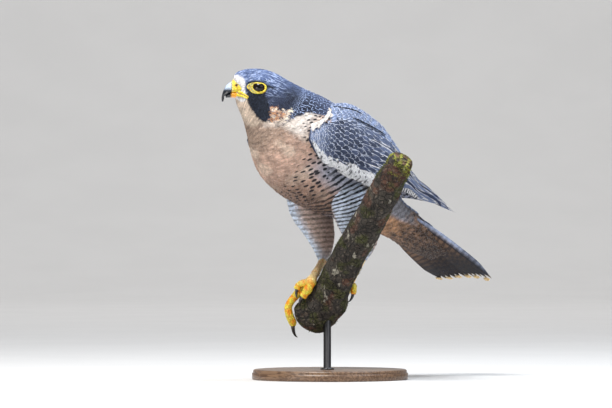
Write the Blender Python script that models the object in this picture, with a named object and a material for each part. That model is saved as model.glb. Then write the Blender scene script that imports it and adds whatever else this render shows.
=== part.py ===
"""A peregrine falcon gripping a short cut branch, as a still, life-size model on a plain display stand.

The bird looks along -Y with its left side at +X, and its head is turned to its right. The origin is
the centre of the stand's underside. Sizes are millimetres until mesh_object scales them to metres.
"""

import math
import random

import bmesh
import bpy
import numpy as np

MM = 0.001
GAP = 0.3
VANE_THICKNESS = 0.55
TURN = 2 * math.pi
UP = np.array([0.0, 0.0, 1.0])
SIDES = {"left": 1, "right": -1}

# Skin stations from the face to the tail. The neck turns about this upright line.
NECK_PIVOT = np.array([0.0, -80.0, 0.0])
# Each: yaw in degrees, top reach and height, bottom reach and height, half width, the share of the way down
# that is widest, and how far the left side is raised, in degrees.
SKIN_STATIONS = [
    (-35, 52.0, 355.5, 50.0, 331.5, 5.6, 0.42, 0),
    (-35, 50.0, 359.5, 49.0, 327.0, 8.0, 0.45, 0),
    (-35, 44.5, 363.0, 47.0, 321.0, 10.4, 0.46, 0),
    (-35, 33.0, 365.3, 44.0, 313.5, 16.4, 0.45, 0),
    (-35, 17.0, 364.8, 41.0, 305.5, 22.8, 0.44, 0),
    (-33, 2.0, 359.8, 38.5, 296.5, 26.0, 0.45, 0),
    (-26, -13, 351.5, 36.0, 285.5, 30.0, 0.47, 0),
    (-16, -28, 344.5, 33.0, 271.0, 37.0, 0.50, 0),
    (-6, -46, 338.5, 25.0, 253.0, 46.0, 0.50, 0),
    (0, -66, 332.0, 12.0, 235, 51.5, 0.50, 0),
    (0, -92, 318.0, -13, 216, 53.5, 0.50, 0),
    (0, -122, 292.0, -46, 202, 50.0, 0.50, 0),
    (0, -148, 262.0, -84, 191, 42.0, 0.50, 0),
    (0, -168, 234.0, -124, 181, 33.0, 0.50, 4),
    (0, -184, 212.0, -162, 172, 26.0, 0.50, 10),
    (0, -208, 194.5, -188, 165, 25.0, 0.50, 18),
    (0, -230, 174.0, -213, 155, 25.0, 0.50, 20),
    (0, -250, 151.5, -240, 146, 18.0, 0.50, 16),
]
HEAD_END = 5.6
NECK_END = 7.9
TORSO_END = 14.0
TAIL_CORE_END = 17.0
STATION_GAP = 0.022
SKIN_SIDES = 28
HEAD_STEP = 0.5
BODY_STEP = 0.5

# Head features, as forward reach from the neck pivot and height, with the head's yaw.
HEAD_YAW = -35.0
EYE_REACH = 22.6
EYE_HEIGHT = 342.6
EYE_RADIUS = 8.8
EYE_DEPTH = 6.0
EYE_TURN = 8.0
LID_RADIUS = 7.0
LID_THICKNESS = 1.0
BROW_LIFT = 3.0
SOCKET_DIP = 1.6
CERE_STATIONS = [
    (-35, 42.0, 352.0, 41.5, 338.0, 12.6, 0.66, 0),
    (-35, 47.3, 353.0, 45.5, 336.6, 11.0, 0.70, 0),
    (-35, 51.0, 352.8, 49.9, 336.4, 9.5, 0.72, 0),
    (-35, 53.3, 351.6, 53.4, 336.4, 8.2, 0.74, 0),
    (-35, 54.2, 350.2, 54.6, 336.7, 7.5, 0.76, 0),
]
UPPER_BILL_STATIONS = [
    (-35, 54.6, 350.0, 55.0, 336.4, 7.2, 0.80, 0),
    (-35, 58.8, 347.2, 58.3, 335.4, 6.1, 0.82, 0),
    (-35, 62.4, 342.6, 60.8, 333.8, 4.7, 0.80, 0),
    (-35, 64.8, 336.8, 62.6, 333.2, 3.1, 0.70, 0),
    (-35, 65.8, 331.0, 63.9, 330.8, 1.7, 0.50, 0),
    (-35, 65.6, 326.8, 64.7, 326.8, 0.6, 0.50, 0),
]
LOWER_BILL_STATIONS = [
    (-35, 44.0, 339.2, 43.0, 331.4, 9.2, 0.50, 0),
    (-35, 50.5, 339.0, 49.5, 331.0, 7.4, 0.50, 0),
    (-35, 55.5, 338.0, 55.0, 331.2, 5.8, 0.50, 0),
    (-35, 59.0, 336.0, 58.6, 331.0, 4.2, 0.50, 0),
    (-35, 61.4, 334.0, 61.2, 331.0, 2.4, 0.50, 0),
]
CERE_SIDES = 18
LOWER_BILL_SIDES = 16
NOSTRIL_REACH = 49.0
NOSTRIL_HEIGHT = 345.4
NOSTRIL_RADIUS = 1.5
GAPE_LINES = [
    [(45.5, 337.6), (41.0, 335.6), (36.0, 331.9)],
    [(45.5, 334.0), (41.4, 332.4), (36.8, 329.6)],
]
GAPE_RADIUS = 1.0

# Folded wing: the ridge on the back and the lower edge on the flank, wrist to tip, for the left side.
WING_RIDGE = [
    (46, -68, 298),
    (36, -33, 316),
    (28, 0, 320),
    (22, 31, 313),
    (19, 66, 295),
    (17, 92, 271),
    (15, 115, 246),
    (12, 146, 228),
    (9, 183, 204),
]
WING_LOWER = [
    (58, -78, 284),
    (60, -60, 262),
    (59, -28, 249),
    (56, 0, 239),
    (50, 40, 232),
    (39, 86, 226),
    (30, 113, 216),
    (19, 152, 207),
    (9, 183, 199),
]
WING_BULGE = [1, 6, 9, 10, 9, 6, 4, 2, 0]
WING_DEPTH = [7, 9, 9, 8, 7, 6, 5, 4, 3]
WING_CORE_END = 0.70
RISE_ALONG = 10.0
RISE_ACROSS = 5.2
WING_LINES = [0.15 * i for i in range(8)]
# Feather outlines: shares of the length, and of the half width there.
FLIGHT_OUTLINE = [(0, 0.6), (0.35, 1.0), (0.75, 0.95), (0.93, 0.55), (1.0, 0)]
COVERT_OUTLINE = [(0, 0.6), (0.5, 1.0), (0.8, 0.9), (0.93, 0.55), (1.0, 0)]
# Rows of a folded wing from its tip: how many vanes, root and tip of the one by the ridge, the tip's change
# from one vane to the next, and the vane's outline.
WING_ROWS = [
    (5, 0.34, 0.90, -0.034, FLIGHT_OUTLINE),
    (4, 0.22, 0.60, -0.012, COVERT_OUTLINE),
    (4, 0.09, 0.42, -0.008, COVERT_OUTLINE),
    (4, -0.04, 0.25, 0.0, COVERT_OUTLINE),
]
PRIMARIES = 5
FAR_WING_LIFT = 7.0
SCAPULARS = 2
TIP_VARIES = 0.008
WIDTH_VARIES = 0.04

# Tail fan.
TAIL_ROOT = np.array([0.0, 98.0, 194.7])
TAIL_PITCH = 32.8
TAIL_LENGTH = 141.0
TAIL_ROLL_ROOT = 26.5
TAIL_ROLL_TIP = 1.5
TAIL_FEATHERS_A_SIDE = 6
# Degrees from one feather to the next, and the outer feathers' gain in length for each order squared.
TAIL_FAN_STEP = {"left": 2.4, "right": 2.2}
TAIL_OUTER_GAIN = {"left": 0.14, "right": -0.2}
TAIL_SPREAD_STEP = 2.4
RECTRIX_HALF_WIDTH = 10.5
TAIL_LINES = [40.0, 80.0, 120.0]

# Cut branch, from its lower end.
BRANCH_FOOT = np.array([-19.9, -11.0, 65.3])
BRANCH_AXIS = np.array([0.644, 0.0, 0.765])
BRANCH_LENGTH = 253.0
BRANCH_RADII = [(0, 18.5), (14, 22.5), (40, 22.0), (64, 19.8), (190, 18.8), (232, 16.0), (253, 14.0)]
# Swellings of the bark: place along it, degrees round it, height, and spreads along it and in radians.
BURLS = [(14, 84, 9.0, 17, 0.75), (36, 237, 5.5, 17, 0.8)]

# Feathered legs: centre, half width across and half depth fore and aft, from hip to hock.
LEG_STATIONS = {
    "left": [
        (22, 0, 250, 3, 6),
        (28, 2, 238, 15, 21),
        (32, 6, 214, 22, 29),
        (31, 15, 189, 21, 29),
        (28, 24, 168, 16, 24),
        (23, 31, 151, 10, 14),
        (19, 33, 141, 5.6, 6.2),
    ],
    "right": [
        (-22, -6, 250, 3, 6),
        (-28, -6, 238, 15, 21),
        (-31, -6, 214, 22, 29),
        (-31, -1, 191, 20.5, 27),
        (-28, 7, 171, 16, 20),
        (-23, 8.5, 153, 10, 12.5),
        (-18, 4, 139, 4.9, 5.4),
    ],
}
LEG_RINGS = 12
LEG_SIDES = 20
TARSUS_RADIUS = 4.5
TARSUS_SHARE = 0.62
# Ball of each foot: distance along the branch and turn round it from its upper side, in degrees.
FOOT_BALLS = {"left": (45.0, -80.0), "right": (57.0, 66.0)}
BALL_RADIUS = 6.6
# The foot from the shank to under its ball: shares of that way, and sizes as shares of the shank.
PAD_SHARES = [0.0, 0.35, 0.7, 0.95, 1.15, 1.28]
PAD_SIZES = [1.0, 1.08, 1.28, 1.42, 1.2, 0.6]
# Toes: steps along the branch and round it from the ball, lift off the bark, and radius at the root.
TOES = {
    "left": {
        "inner": ([(6, 16, 0), (13, 34, 0), (19, 50, 0)], 4.3),
        "middle": ([(1, 18, 0), (3, 34, 0), (5, 48, 0)], 4.5),
        "outer": ([(-9, 14, 0), (-18, 28, 0), (-25, 40, 0)], 4.2),
        "hind": ([(16, -19, 0), (22, -36, 0), (15, -49, 1)], 3.8),
    },
    "right": {
        "inner": ([(-7, 7, 1), (-14, 11, 2), (-20, 13, 3)], 5.2),
        "middle": ([(-12, -20, 2), (-34, -7, 3), (-60, 22, 0)], 5.2),
        "outer": ([(-7, -8, 6), (-13, -9, 11), (-18, -3, 11)], 4.2),
        "hind": ([(-6, -22, 0), (-14, -42, 0), (-22, -58, 0)], 4.6),
    },
}
CLAW_LENGTHS = {"inner": 16.0, "middle": 18.0, "outer": 14.0, "hind": 16.0}
CLAW_TURN = 1.35
# How far each claw hooks in. Only the one that reaches past the branch's end has room for all of its curve.
CLAW_HOOK = 0.6
FREE_CLAW = "claw_right_middle"
FREE_CLAW_HOOK = 0.6
FREE_CLAW_LENGTH = 23.0

# Display stand.
BASE_RADIUS = 92.0
BASE_THICKNESS = 12.0
BASE_EDGE = 2.5
ROD_RADIUS = 4.5
ROD_PLACE = (8.0, -11.0)
ROD_TOP = 82.0
ROD_SOCKET = 4.0

COLOURS = {
    "slate_feathers": ((0.16, 0.19, 0.26), 0.75),
    "pale_feathers": ((0.72, 0.60, 0.50), 0.8),
    "bill_horn": ((0.12, 0.14, 0.18), 0.3),
    "yellow_skin": ((0.85, 0.60, 0.05), 0.5),
    "eye_dark": ((0.02, 0.012, 0.01), 0.05),
    "claw_horn": ((0.02, 0.02, 0.022), 0.3),
    "bark": ((0.12, 0.08, 0.05), 0.9),
    "stand_wood": ((0.36, 0.25, 0.16), 0.5),
    "stand_metal": ((0.10, 0.10, 0.11), 0.4),
}


def spline(keys, t):
    """Catmull-Rom curve through the rows of keys, where t counts keys from 0."""
    keys = np.asarray(keys, float)
    t = np.clip(np.atleast_1d(np.asarray(t, float)), 0, len(keys) - 1)
    first = np.minimum(t.astype(int), len(keys) - 2)
    f = (t - first)[:, None]
    padded = np.vstack([2 * keys[0] - keys[1], keys, 2 * keys[-1] - keys[-2]])
    p0, p1, p2, p3 = (padded[first + k] for k in range(4))
    cubic = 3 * p1 - p0 - 3 * p2 + p3
    return 0.5 * (2 * p1 + (p2 - p0) * f + (2 * p0 - 5 * p1 + 4 * p2 - p3) * f**2 + cubic * f**3)


def unit(v):
    return v / np.maximum(np.linalg.norm(v, axis=-1, keepdims=True), 1e-9)


def heading(yaw):
    """Forward and left directions at a yaw in degrees, negative towards the bird's right."""
    yaw = np.radians(yaw)
    forward = np.stack([np.sin(yaw), -np.cos(yaw), 0 * yaw], -1)
    left = np.stack([np.cos(yaw), np.sin(yaw), 0 * yaw], -1)
    return forward, left


def head_point(reach, height, lateral):
    forward, left = heading(HEAD_YAW)
    return NECK_PIVOT + forward * reach + left * lateral + UP * height


def ring_points(stations, t, angle, grow=0.0):
    """Points on a loft through the stations: angle 0 is the bird's left, a quarter turn is the top."""
    k = spline(stations, t)
    forward, left = heading(k[:, 0])
    top = NECK_PIVOT + forward * k[:, 1:2] + UP * k[:, 2:3]
    bottom = NECK_PIVOT + forward * k[:, 3:4] + UP * k[:, 4:5]
    along = unit(top - bottom) * grow
    top = top + along
    bottom = bottom - along
    middle = top + (bottom - top) * k[:, 6:7]
    cosine = np.cos(angle)[:, None]
    sine = np.sin(angle)[:, None]
    rise = np.where(sine > 0, (top - middle) * sine, (middle - bottom) * sine)
    raised = left + UP * np.tan(np.radians(k[:, 7:8]))
    return middle + rise + raised * (k[:, 5:6] + grow) * cosine


def skin_lateral(reach, height):
    """How far the head's skin stands out to the side at a reach and a height."""
    t, angle = np.meshgrid(np.linspace(0, HEAD_END, 120), np.linspace(-1.4, 1.4, 160))
    points = head_relief(ring_points(SKIN_STATIONS, t.ravel(), angle.ravel())) - NECK_PIVOT
    forward, left = heading(HEAD_YAW)
    away = np.hypot(points @ forward - reach, points[:, 2] - height)
    return (points @ left)[away.argmin()]


def head_relief(points):
    """Brow ridges and the hollows that the eyes sit in, as an outward shift at each point."""
    shift = np.zeros_like(points)
    for side in SIDES.values():
        eye = head_point(EYE_REACH, EYE_HEIGHT, side * 20)
        brow = head_point(EYE_REACH + 1, EYE_HEIGHT + 9, side * 19)
        out = heading(HEAD_YAW)[1] * side
        reach = heading(HEAD_YAW)[0]
        from_eye = points - eye
        from_brow = points - brow
        dip = np.exp(-((np.linalg.norm(from_eye, axis=1) / 7.5) ** 2))
        stretched = from_brow - np.outer(from_brow @ reach, reach) * 0.45
        lift = np.exp(-((np.linalg.norm(stretched, axis=1) / 4.6) ** 2))
        shift += np.outer(lift * BROW_LIFT - dip * SOCKET_DIP, out)
    return points + shift


def material(name):
    if name in bpy.data.materials:
        return bpy.data.materials[name]
    made = bpy.data.materials.new(name)
    made.use_nodes = True
    shader = made.node_tree.nodes["Principled BSDF"]
    colour, roughness = COLOURS[name]
    shader.inputs["Base Color"].default_value = (*colour, 1)
    shader.inputs["Roughness"].default_value = roughness
    shader.inputs["Metallic"].default_value = 1.0 if name == "stand_metal" else 0.0
    return made


def mesh_object(name, points, faces, slot):
    """A closed mesh from points in millimetres, with its faces turned outwards."""
    mesh = bpy.data.meshes.new(name)
    mesh.from_pydata([tuple(p) for p in np.asarray(points, float) * MM], [], faces)
    made = bpy.data.objects.new(name, mesh)
    bpy.context.scene.collection.objects.link(made)
    edit = bmesh.new()
    edit.from_mesh(mesh)
    bmesh.ops.recalc_face_normals(edit, faces=edit.faces[:])
    if edit.calc_volume(signed=True) < 0:
        bmesh.ops.reverse_faces(edit, faces=edit.faces)
    edit.to_mesh(mesh)
    edit.free()
    mesh.materials.append(material(slot))
    mesh.shade_smooth()
    return made


def rings_to_faces(count, sides):
    """Faces of a tube of rings, each a list of points in turn, closed by a fan at both ends."""
    faces = []
    for i in range(count - 1):
        for j in range(sides):
            k = (j + 1) % sides
            faces.append((i * sides + j, i * sides + k, (i + 1) * sides + k, (i + 1) * sides + j))
    first = count * sides
    last = (count - 1) * sides
    faces += [(first, (j + 1) % sides, j) for j in range(sides)]
    faces += [(first + 1, last + j, last + (j + 1) % sides) for j in range(sides)]
    return faces


def ringed_object(name, rings, slot):
    rings = np.asarray(rings, float)
    count, sides, _ = rings.shape
    points = np.vstack([rings.reshape(-1, 3), rings[0].mean(0), rings[-1].mean(0)])
    return mesh_object(name, points, rings_to_faces(count, sides), slot)


def skin_object(name, stations, t0, t1, step, slot, grow=0.0, relief=False, sides=SKIN_SIDES):
    steps = max(2, round((t1 - t0) / step) + 1)
    angles = np.arange(sides) * TURN / sides
    rings = []
    for t in np.linspace(t0, t1, steps):
        ring = ring_points(stations, np.full(sides, t), angles, grow)
        rings.append(head_relief(ring) if relief else ring)
    return ringed_object(name, rings, slot)


def grown_skin(t0, t1, slot, grow):
    """A cutter in the shape of the bird's skin, larger by grow."""
    return skin_object("cutter", SKIN_STATIONS, t0, t1, BODY_STEP, slot, grow=grow)


def tube_object(name, path, radii, slot, sides=8, flatten=1.0, side_hint=(1.0, 0.0, 0.0)):
    """A tube along path. flatten scales it across the direction nearest to side_hint."""
    path = np.asarray(path, float)
    tangents = unit(np.gradient(path, axis=0))
    hint = np.asarray(side_hint, float)
    rings = []
    for point, tangent, radius in zip(path, tangents, radii):
        wide = unit(hint - tangent * (hint @ tangent))
        high = np.cross(tangent, wide)
        angles = np.arange(sides) * TURN / sides
        circle = np.outer(np.cos(angles), wide) * flatten + np.outer(np.sin(angles), high)
        rings.append(point + circle * radius)
    return ringed_object(name, rings, slot)


def ball_object(name, centre, radius, slot, across=20, rings=12):
    edit = bmesh.new()
    bmesh.ops.create_uvsphere(edit, u_segments=across, v_segments=rings, radius=radius)
    points = np.array([v.co[:] for v in edit.verts]) + centre
    faces = [tuple(v.index for v in f.verts) for f in edit.faces]
    edit.free()
    return mesh_object(name, points, faces, slot)


def apply_boolean(target, operation, solver, other=None, collection=None):
    modifier = target.modifiers.new("join", "BOOLEAN")
    modifier.operation = operation
    modifier.solver = solver
    if collection is None:
        modifier.object = other
    else:
        modifier.operand_type = "COLLECTION"
        modifier.collection = collection
    graph = bpy.context.evaluated_depsgraph_get()
    mesh = bpy.data.meshes.new_from_object(target.evaluated_get(graph))
    target.modifiers.clear()
    target.data = mesh


def keep_largest(target):
    """Drops every closed surface but the one with the most volume, such as a scrap that a cut left."""
    edit = bmesh.new()
    edit.from_mesh(target.data)
    edit.faces.ensure_lookup_table()
    seen = set()
    shells = []
    for face in edit.faces:
        if face.index in seen:
            continue
        shell = []
        waiting = [face]
        seen.add(face.index)
        while waiting:
            current = waiting.pop()
            shell.append(current)
            for edge in current.edges:
                for beside in edge.link_faces:
                    if beside.index not in seen:
                        seen.add(beside.index)
                        waiting.append(beside)
        shells.append(shell)

    def size(shell):
        total = 0.0
        for f in shell:
            corners = [v.co for v in f.verts]
            for i in range(1, len(corners) - 1):
                total += corners[0].dot(corners[i].cross(corners[i + 1]))
        return total

    shells.sort(key=size)
    for shell in shells[:-1]:
        bmesh.ops.delete(edit, geom=shell, context="FACES")
    edit.to_mesh(target.data)
    edit.free()


def join(target, pieces):
    """One Boolean union of target with the pieces, which are then removed."""
    group = bpy.data.collections.new("pieces")
    bpy.context.scene.collection.children.link(group)
    for piece in pieces:
        bpy.context.scene.collection.objects.unlink(piece)
        group.objects.link(piece)
    apply_boolean(target, "UNION", "MANIFOLD", collection=group)
    for piece in pieces:
        bpy.data.objects.remove(piece)
    bpy.data.collections.remove(group)
    keep_largest(target)


def cut(target, cutters):
    """Takes the cutters out of target and removes them."""
    for cutter in cutters:
        apply_boolean(target, "DIFFERENCE", "MANIFOLD", other=cutter)
        bpy.data.objects.remove(cutter)
    keep_largest(target)


def vane_object(name, place, root, tip, half_width, outline, height, lines, thickness=VANE_THICKNESS):
    """A feather vane on a surface. place(a, b, h) gives a point, a along and b across the surface.

    outline lists shares of the length and of the half width, height(a, b) is the top face's height, and lines
    are the places along the surface at which every vane has its points, so that vanes bend alike.
    """
    root = np.asarray(root, float)
    tip = np.asarray(tip, float)
    length = tip[0] - root[0]
    stops = [root[0]] + [a for a in lines if 0.12 < (a - root[0]) / length < 0.86] + [root[0] + 0.93 * length]
    shares, widths = zip(*outline)
    upper = []
    lower = []
    for a in stops:
        share = (a - root[0]) / length
        centre = root[1] + (tip[1] - root[1]) * share
        width = half_width * np.interp(share, shares, widths)
        for b in (centre - width, centre, centre + width):
            upper.append(place(a, b, height(a, b)))
            lower.append(place(a, b, height(a, b) - thickness))
    upper.append(place(*tip, height(*tip)))
    lower.append(place(*tip, height(*tip) - thickness))
    n = len(upper)
    last = n - 4
    top = [(last, last + 1, n - 1), (last + 1, last + 2, n - 1)]
    for i in range(len(stops) - 1):
        for j in (3 * i, 3 * i + 1):
            top += [(j, j + 1, j + 4), (j, j + 4, j + 3)]
    rim = [1] + list(range(0, last + 1, 3)) + [n - 1] + list(range(last + 2, 0, -3))
    faces = top + [tuple(n + v for v in reversed(f)) for f in top]
    for i, v in enumerate(rim):
        w = rim[(i + 1) % len(rim)]
        faces += [(v, v + n, w + n), (v, w + n, w)]
    return mesh_object(name, np.array(upper + lower), faces, "slate_feathers")


def wing_point(side, u, v, h=0.0):
    """A point on the folded wing's outer face: u runs wrist to tip, v from the ridge to the lower edge."""
    t = np.atleast_1d(np.clip(u, 0, 1)) * (len(WING_RIDGE) - 1)
    v = np.atleast_1d(v)[:, None]
    delta = 0.05
    rows = []
    for shift in (-delta, 0, delta):
        ridge = spline(WING_RIDGE, t + shift)
        lower = spline(WING_LOWER, t + shift)
        rows.append((ridge, lower))
    ridge, lower = rows[1]
    flat = ridge + (lower - ridge) * v
    ahead = rows[2][0] * (1 - v) + rows[2][1] * v - rows[0][0] * (1 - v) - rows[0][1] * v
    out = unit(np.cross(lower - ridge, ahead) * -1.0)
    out = np.where(out[:, :1] < 0, -out, out)
    bulge = spline(np.array(WING_BULGE, float)[:, None], t)
    spare = np.clip(v, -0.2, 1.2)
    point = flat + out * (bulge * 4 * spare * (1 - spare) + np.atleast_1d(h)[:, None])
    if side == SIDES["right"]:
        point = point + UP * FAR_WING_LIFT * np.atleast_1d(u)[:, None] ** 2
    return point * np.array([side, 1.0, 1.0])


def wing_core(name, side):
    """The closed body of a folded wing, under its vanes."""
    across = np.linspace(0.02, 0.98, 5)
    along = np.linspace(0.0, WING_CORE_END, 8)
    edge = np.sqrt(np.clip(1 - (2 * across - 1) ** 8, 0, 1))
    rings = []
    for u in along:
        depth = spline(np.array(WING_DEPTH, float)[:, None], [u * (len(WING_DEPTH) - 1)])[0, 0]
        rounding = math.sqrt(max(0.0, 1 - (1 - min(1.0, u / 0.10)) ** 2))
        depth *= 0.35 + 0.65 * rounding
        top = wing_point(side, np.full(5, u), across, np.full(5, -0.6))
        bottom = wing_point(side, np.full(5, u), across, -0.6 - depth * (0.25 + 0.75 * edge))
        rings.append(np.vstack([top, bottom[::-1]]))
    return ringed_object(name, rings, "slate_feathers")


def wing_vanes():
    """Each vane of a folded wing as root, tip, half width, outline and rise over the row's own height."""
    for i in range(PRIMARIES):
        root = (0.50, 0.62 - 0.05 * i)
        tip = (1.0 - 0.04 * i, 0.42 - 0.09 * i)
        yield root, tip, 0.46 - 0.03 * i, FLIGHT_OUTLINE, -0.85 * (PRIMARIES - 1 - i) - 0.9
    for count, start, end, change, outline in WING_ROWS:
        pitch = 0.96 / count
        for i in range(count):
            v = 0.02 + pitch * (i + 0.5)
            yield (start, v), (end + change * i, v + 0.01), pitch * 0.93, outline, 0.0
    for i in range(SCAPULARS):
        yield (0.08 + 0.15 * i, 0.0), (0.45 + 0.18 * i, 0.05), 0.16, COVERT_OUTLINE, 1.9 - 0.05 * i


def wing(name, side):
    core = wing_core(name, side)
    chance = random.Random(7)
    vanes = []
    for number, (root, tip, half, outline, rise) in enumerate(wing_vanes()):
        middle = (root[1] + tip[1]) / 2
        half *= 1 + chance.uniform(-WIDTH_VARIES, WIDTH_VARIES)
        tip = (min(1.0, tip[0] + chance.uniform(-TIP_VARIES, TIP_VARIES)), tip[1])

        def height(a, b, root=root, middle=middle, rise=rise):
            return -1.6 + rise + RISE_ALONG * (a - root[0]) + RISE_ACROSS * (b - middle)

        def place(a, b, h):
            return wing_point(side, a, b, h)[0]

        vane = f"{name}_vane_{number}"
        vanes.append(vane_object(vane, place, root, tip, half, outline, height, WING_LINES))
    join(core, vanes)
    cut(core, [grown_skin(4.0, TAIL_CORE_END, "slate_feathers", GAP)])
    return core


def tail_point(a, b, h=0.0):
    """A point on the tail fan's upper face: a along it from its root, b across to the bird's left."""
    pitch = math.radians(TAIL_PITCH)
    along = np.array([0.0, math.cos(pitch), -math.sin(pitch)])
    upward = np.array([0.0, math.sin(pitch), math.cos(pitch)])
    share = a / TAIL_LENGTH
    roll = math.radians(TAIL_ROLL_ROOT + (TAIL_ROLL_TIP - TAIL_ROLL_ROOT) * share)
    left = np.array([math.cos(roll), 0.0, math.sin(roll)])
    return TAIL_ROOT + along * a + left * b + upward * h


def tail_vane(name, side, order, length, start, half, lift, step, outline):
    """One tail feather or covert, as a vane in its own fan line, order 0 in the middle."""
    angle = math.radians(step * (order + 0.5)) * side
    root_b = side * (TAIL_SPREAD_STEP * (order + 0.5))

    def place(a, b, h):
        radial_b = root_b + math.tan(angle) * max(a, 0) + b
        return tail_point(a, radial_b, h)

    def height(a, b):
        return lift(a) - 0.85 * order + side * b * -0.03

    return vane_object(name, place, (start, 0), (start + length, 0), half, outline, height, TAIL_LINES)


def tail():
    start = TORSO_END + STATION_GAP
    core = skin_object("tail", SKIN_STATIONS, start, TAIL_CORE_END, BODY_STEP, "slate_feathers", sides=20)
    chance = random.Random(3)
    vanes = []
    for side_name, side in SIDES.items():
        for i in range(TAIL_FEATHERS_A_SIDE):
            name = f"rectrix_{side_name}_{i}"
            length = TAIL_LENGTH + TAIL_OUTER_GAIN[side_name] * i * i + chance.uniform(-1, 1)
            step = TAIL_FAN_STEP[side_name]
            shape = (length - 8, 8, RECTRIX_HALF_WIDTH, lambda a: 1.5, step, FLIGHT_OUTLINE)
            vanes.append(tail_vane(name, side, i, *shape))
        for i in range(2):
            name = f"upper_covert_{side_name}_{i}"
            shape = (62 - 6 * i, 12, 13, lambda a: 11.0 - 0.10 * a, 7.0, COVERT_OUTLINE)
            vanes.append(tail_vane(name, side, i, *shape))
            name = f"under_covert_{side_name}_{i}"
            shape = (72 - 7 * i, 14, 14, lambda a: -10.0 + 0.03 * a, 6.5, COVERT_OUTLINE)
            vanes.append(tail_vane(name, side, i, *shape))
    join(core, vanes)
    stub = TORSO_END + STATION_GAP * 0.98
    cut(core, [grown_skin(9.0, stub, "slate_feathers", 4.0)])
    return core


def branch_frame():
    upper = unit(UP - BRANCH_AXIS * (UP @ BRANCH_AXIS))
    return upper, np.cross(BRANCH_AXIS, upper)


def branch_radius(s, turn):
    """Radius of the branch s along it, turned from its upper side towards the bird's front, in radians."""
    places, radii = zip(*BRANCH_RADII)
    base = np.interp(s, places, radii)
    knots = 0.5 * np.sin(3 * turn + s / 19) + 0.4 * np.sin(2 * turn - s / 11 + 1)
    burls = 0.0
    for middle, degrees, height, long, wide in BURLS:
        away = (turn - math.radians(degrees) + math.pi) % TURN - math.pi
        burls += height * math.exp(-((away / wide) ** 2)) * math.exp(-(((s - middle) / long) ** 2))
    return base + knots + burls


def branch_point(s, turn, height):
    upper, _ = branch_frame()
    front = np.array([0.0, -1.0, 0.0])
    direction = upper * math.cos(turn) + front * math.sin(turn)
    inside = min(max(s, 0.0), BRANCH_LENGTH)
    return BRANCH_FOOT + BRANCH_AXIS * s + direction * (branch_radius(inside, turn) + height)


def branch_object(name, grow=0.0, sides=20):
    stations = [0, 3, 11, 24, 40, 60, 90, 125, 160, 200, 235, 250, BRANCH_LENGTH]
    rings = []
    for s in stations:
        rounded = 1.0 if 2 < s < BRANCH_LENGTH - 1 else 0.93
        place = s + (grow if s == BRANCH_LENGTH else -grow if s == 0 else 0)
        ring = []
        for i in range(sides):
            turn = i * TURN / sides
            ring.append(branch_point(place, turn, grow - (1 - rounded) * branch_radius(s, turn)))
        rings.append(ring)
    return ringed_object(name, rings, "bark")


def leg(name, side_name):
    """A feathered leg, cut clear of the torso and of the branch."""
    keys = LEG_STATIONS[side_name]
    rings = []
    for t in np.linspace(0, len(keys) - 1, LEG_RINGS):
        x, y, z, across, deep = spline(keys, [t])[0]
        angles = np.arange(LEG_SIDES) * TURN / LEG_SIDES
        ring = np.stack([x + across * np.cos(angles), y + deep * np.sin(angles), z + 0 * angles], -1)
        rings.append(ring)
    made = ringed_object(name, rings, "pale_feathers")
    cut(made, [grown_skin(7.0, TAIL_CORE_END, "pale_feathers", GAP), branch_object("cutter", grow=GAP)])
    return made


def ball_centre(side_name):
    s, degrees = FOOT_BALLS[side_name]
    return branch_point(s, math.radians(degrees), BALL_RADIUS + 0.8)


def tarsus(name, side_name):
    """The bare shank, from the feathers down to the foot."""
    top = np.array(LEG_STATIONS[side_name][-1][:3], float) - UP * GAP * 1.2
    ball = ball_centre(side_name)
    bottom = top + (ball - top) * TARSUS_SHARE
    shares = np.linspace(0, 1, 4)
    path = [top + (bottom - top) * f for f in shares]
    radii = [TARSUS_RADIUS * (1.0 - 0.12 * math.sin(math.pi * f)) for f in shares]
    made = tube_object(name, path, radii, "yellow_skin", sides=10)
    leg_end = LEG_STATIONS[side_name][-1]
    plane_top = leg_end[2] - GAP
    corners = [(-60, -60), (60, -60), (60, 90), (-60, 90)]
    clear = np.array([(x, y, plane_top) for x, y in corners], float)
    slab = np.vstack([clear, clear + UP * 30])
    faces = [(0, 1, 2, 3), (7, 6, 5, 4), (0, 4, 5, 1), (1, 5, 6, 2), (2, 6, 7, 3), (3, 7, 4, 0)]
    cut(made, [mesh_object("cutter", slab, faces, "yellow_skin")])
    return made, bottom, unit(bottom - top)


def toe_path(side_name, steps, radius):
    """Points along a toe that hugs the branch, and the branch positions that they stand over."""
    s0, turn0 = FOOT_BALLS[side_name]
    keys = [(s0, turn0, 0)] + [(s0 + ds, turn0 + dt, lift) for ds, dt, lift in steps]
    shares = np.linspace(0, len(keys) - 1, 8)
    places = spline(keys, shares)
    radii = radius * (1 - 0.22 * shares / shares[-1])
    path = [branch_point(s, math.radians(d), r + 0.9 + lift) for (s, d, lift), r in zip(places, radii)]
    s, degrees, _ = places[-1]
    inward = branch_point(s, math.radians(degrees), 0.0) - branch_point(s, math.radians(degrees), 10.0)
    return path, radii, unit(inward)


def foot(name, side_name, shank_end, shank_axis):
    """The ball of the foot with its four toes, and the claws as nodes of their own."""
    ball = ball_centre(side_name)
    ankle = shank_end + shank_axis * GAP
    pad = [ankle + (ball - ankle) * share for share in PAD_SHARES]
    made = tube_object(name, pad, [TARSUS_RADIUS * size for size in PAD_SIZES], "yellow_skin", sides=10)
    pieces = []
    for toe, (steps, radius) in TOES[side_name].items():
        path, radii, inward = toe_path(side_name, steps, radius)
        pieces.append(tube_object(toe, path, radii, "yellow_skin"))
        claw(f"claw_{side_name}_{toe}", path, radii[-1], inward, CLAW_LENGTHS[toe])
    join(made, pieces)
    return made


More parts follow.
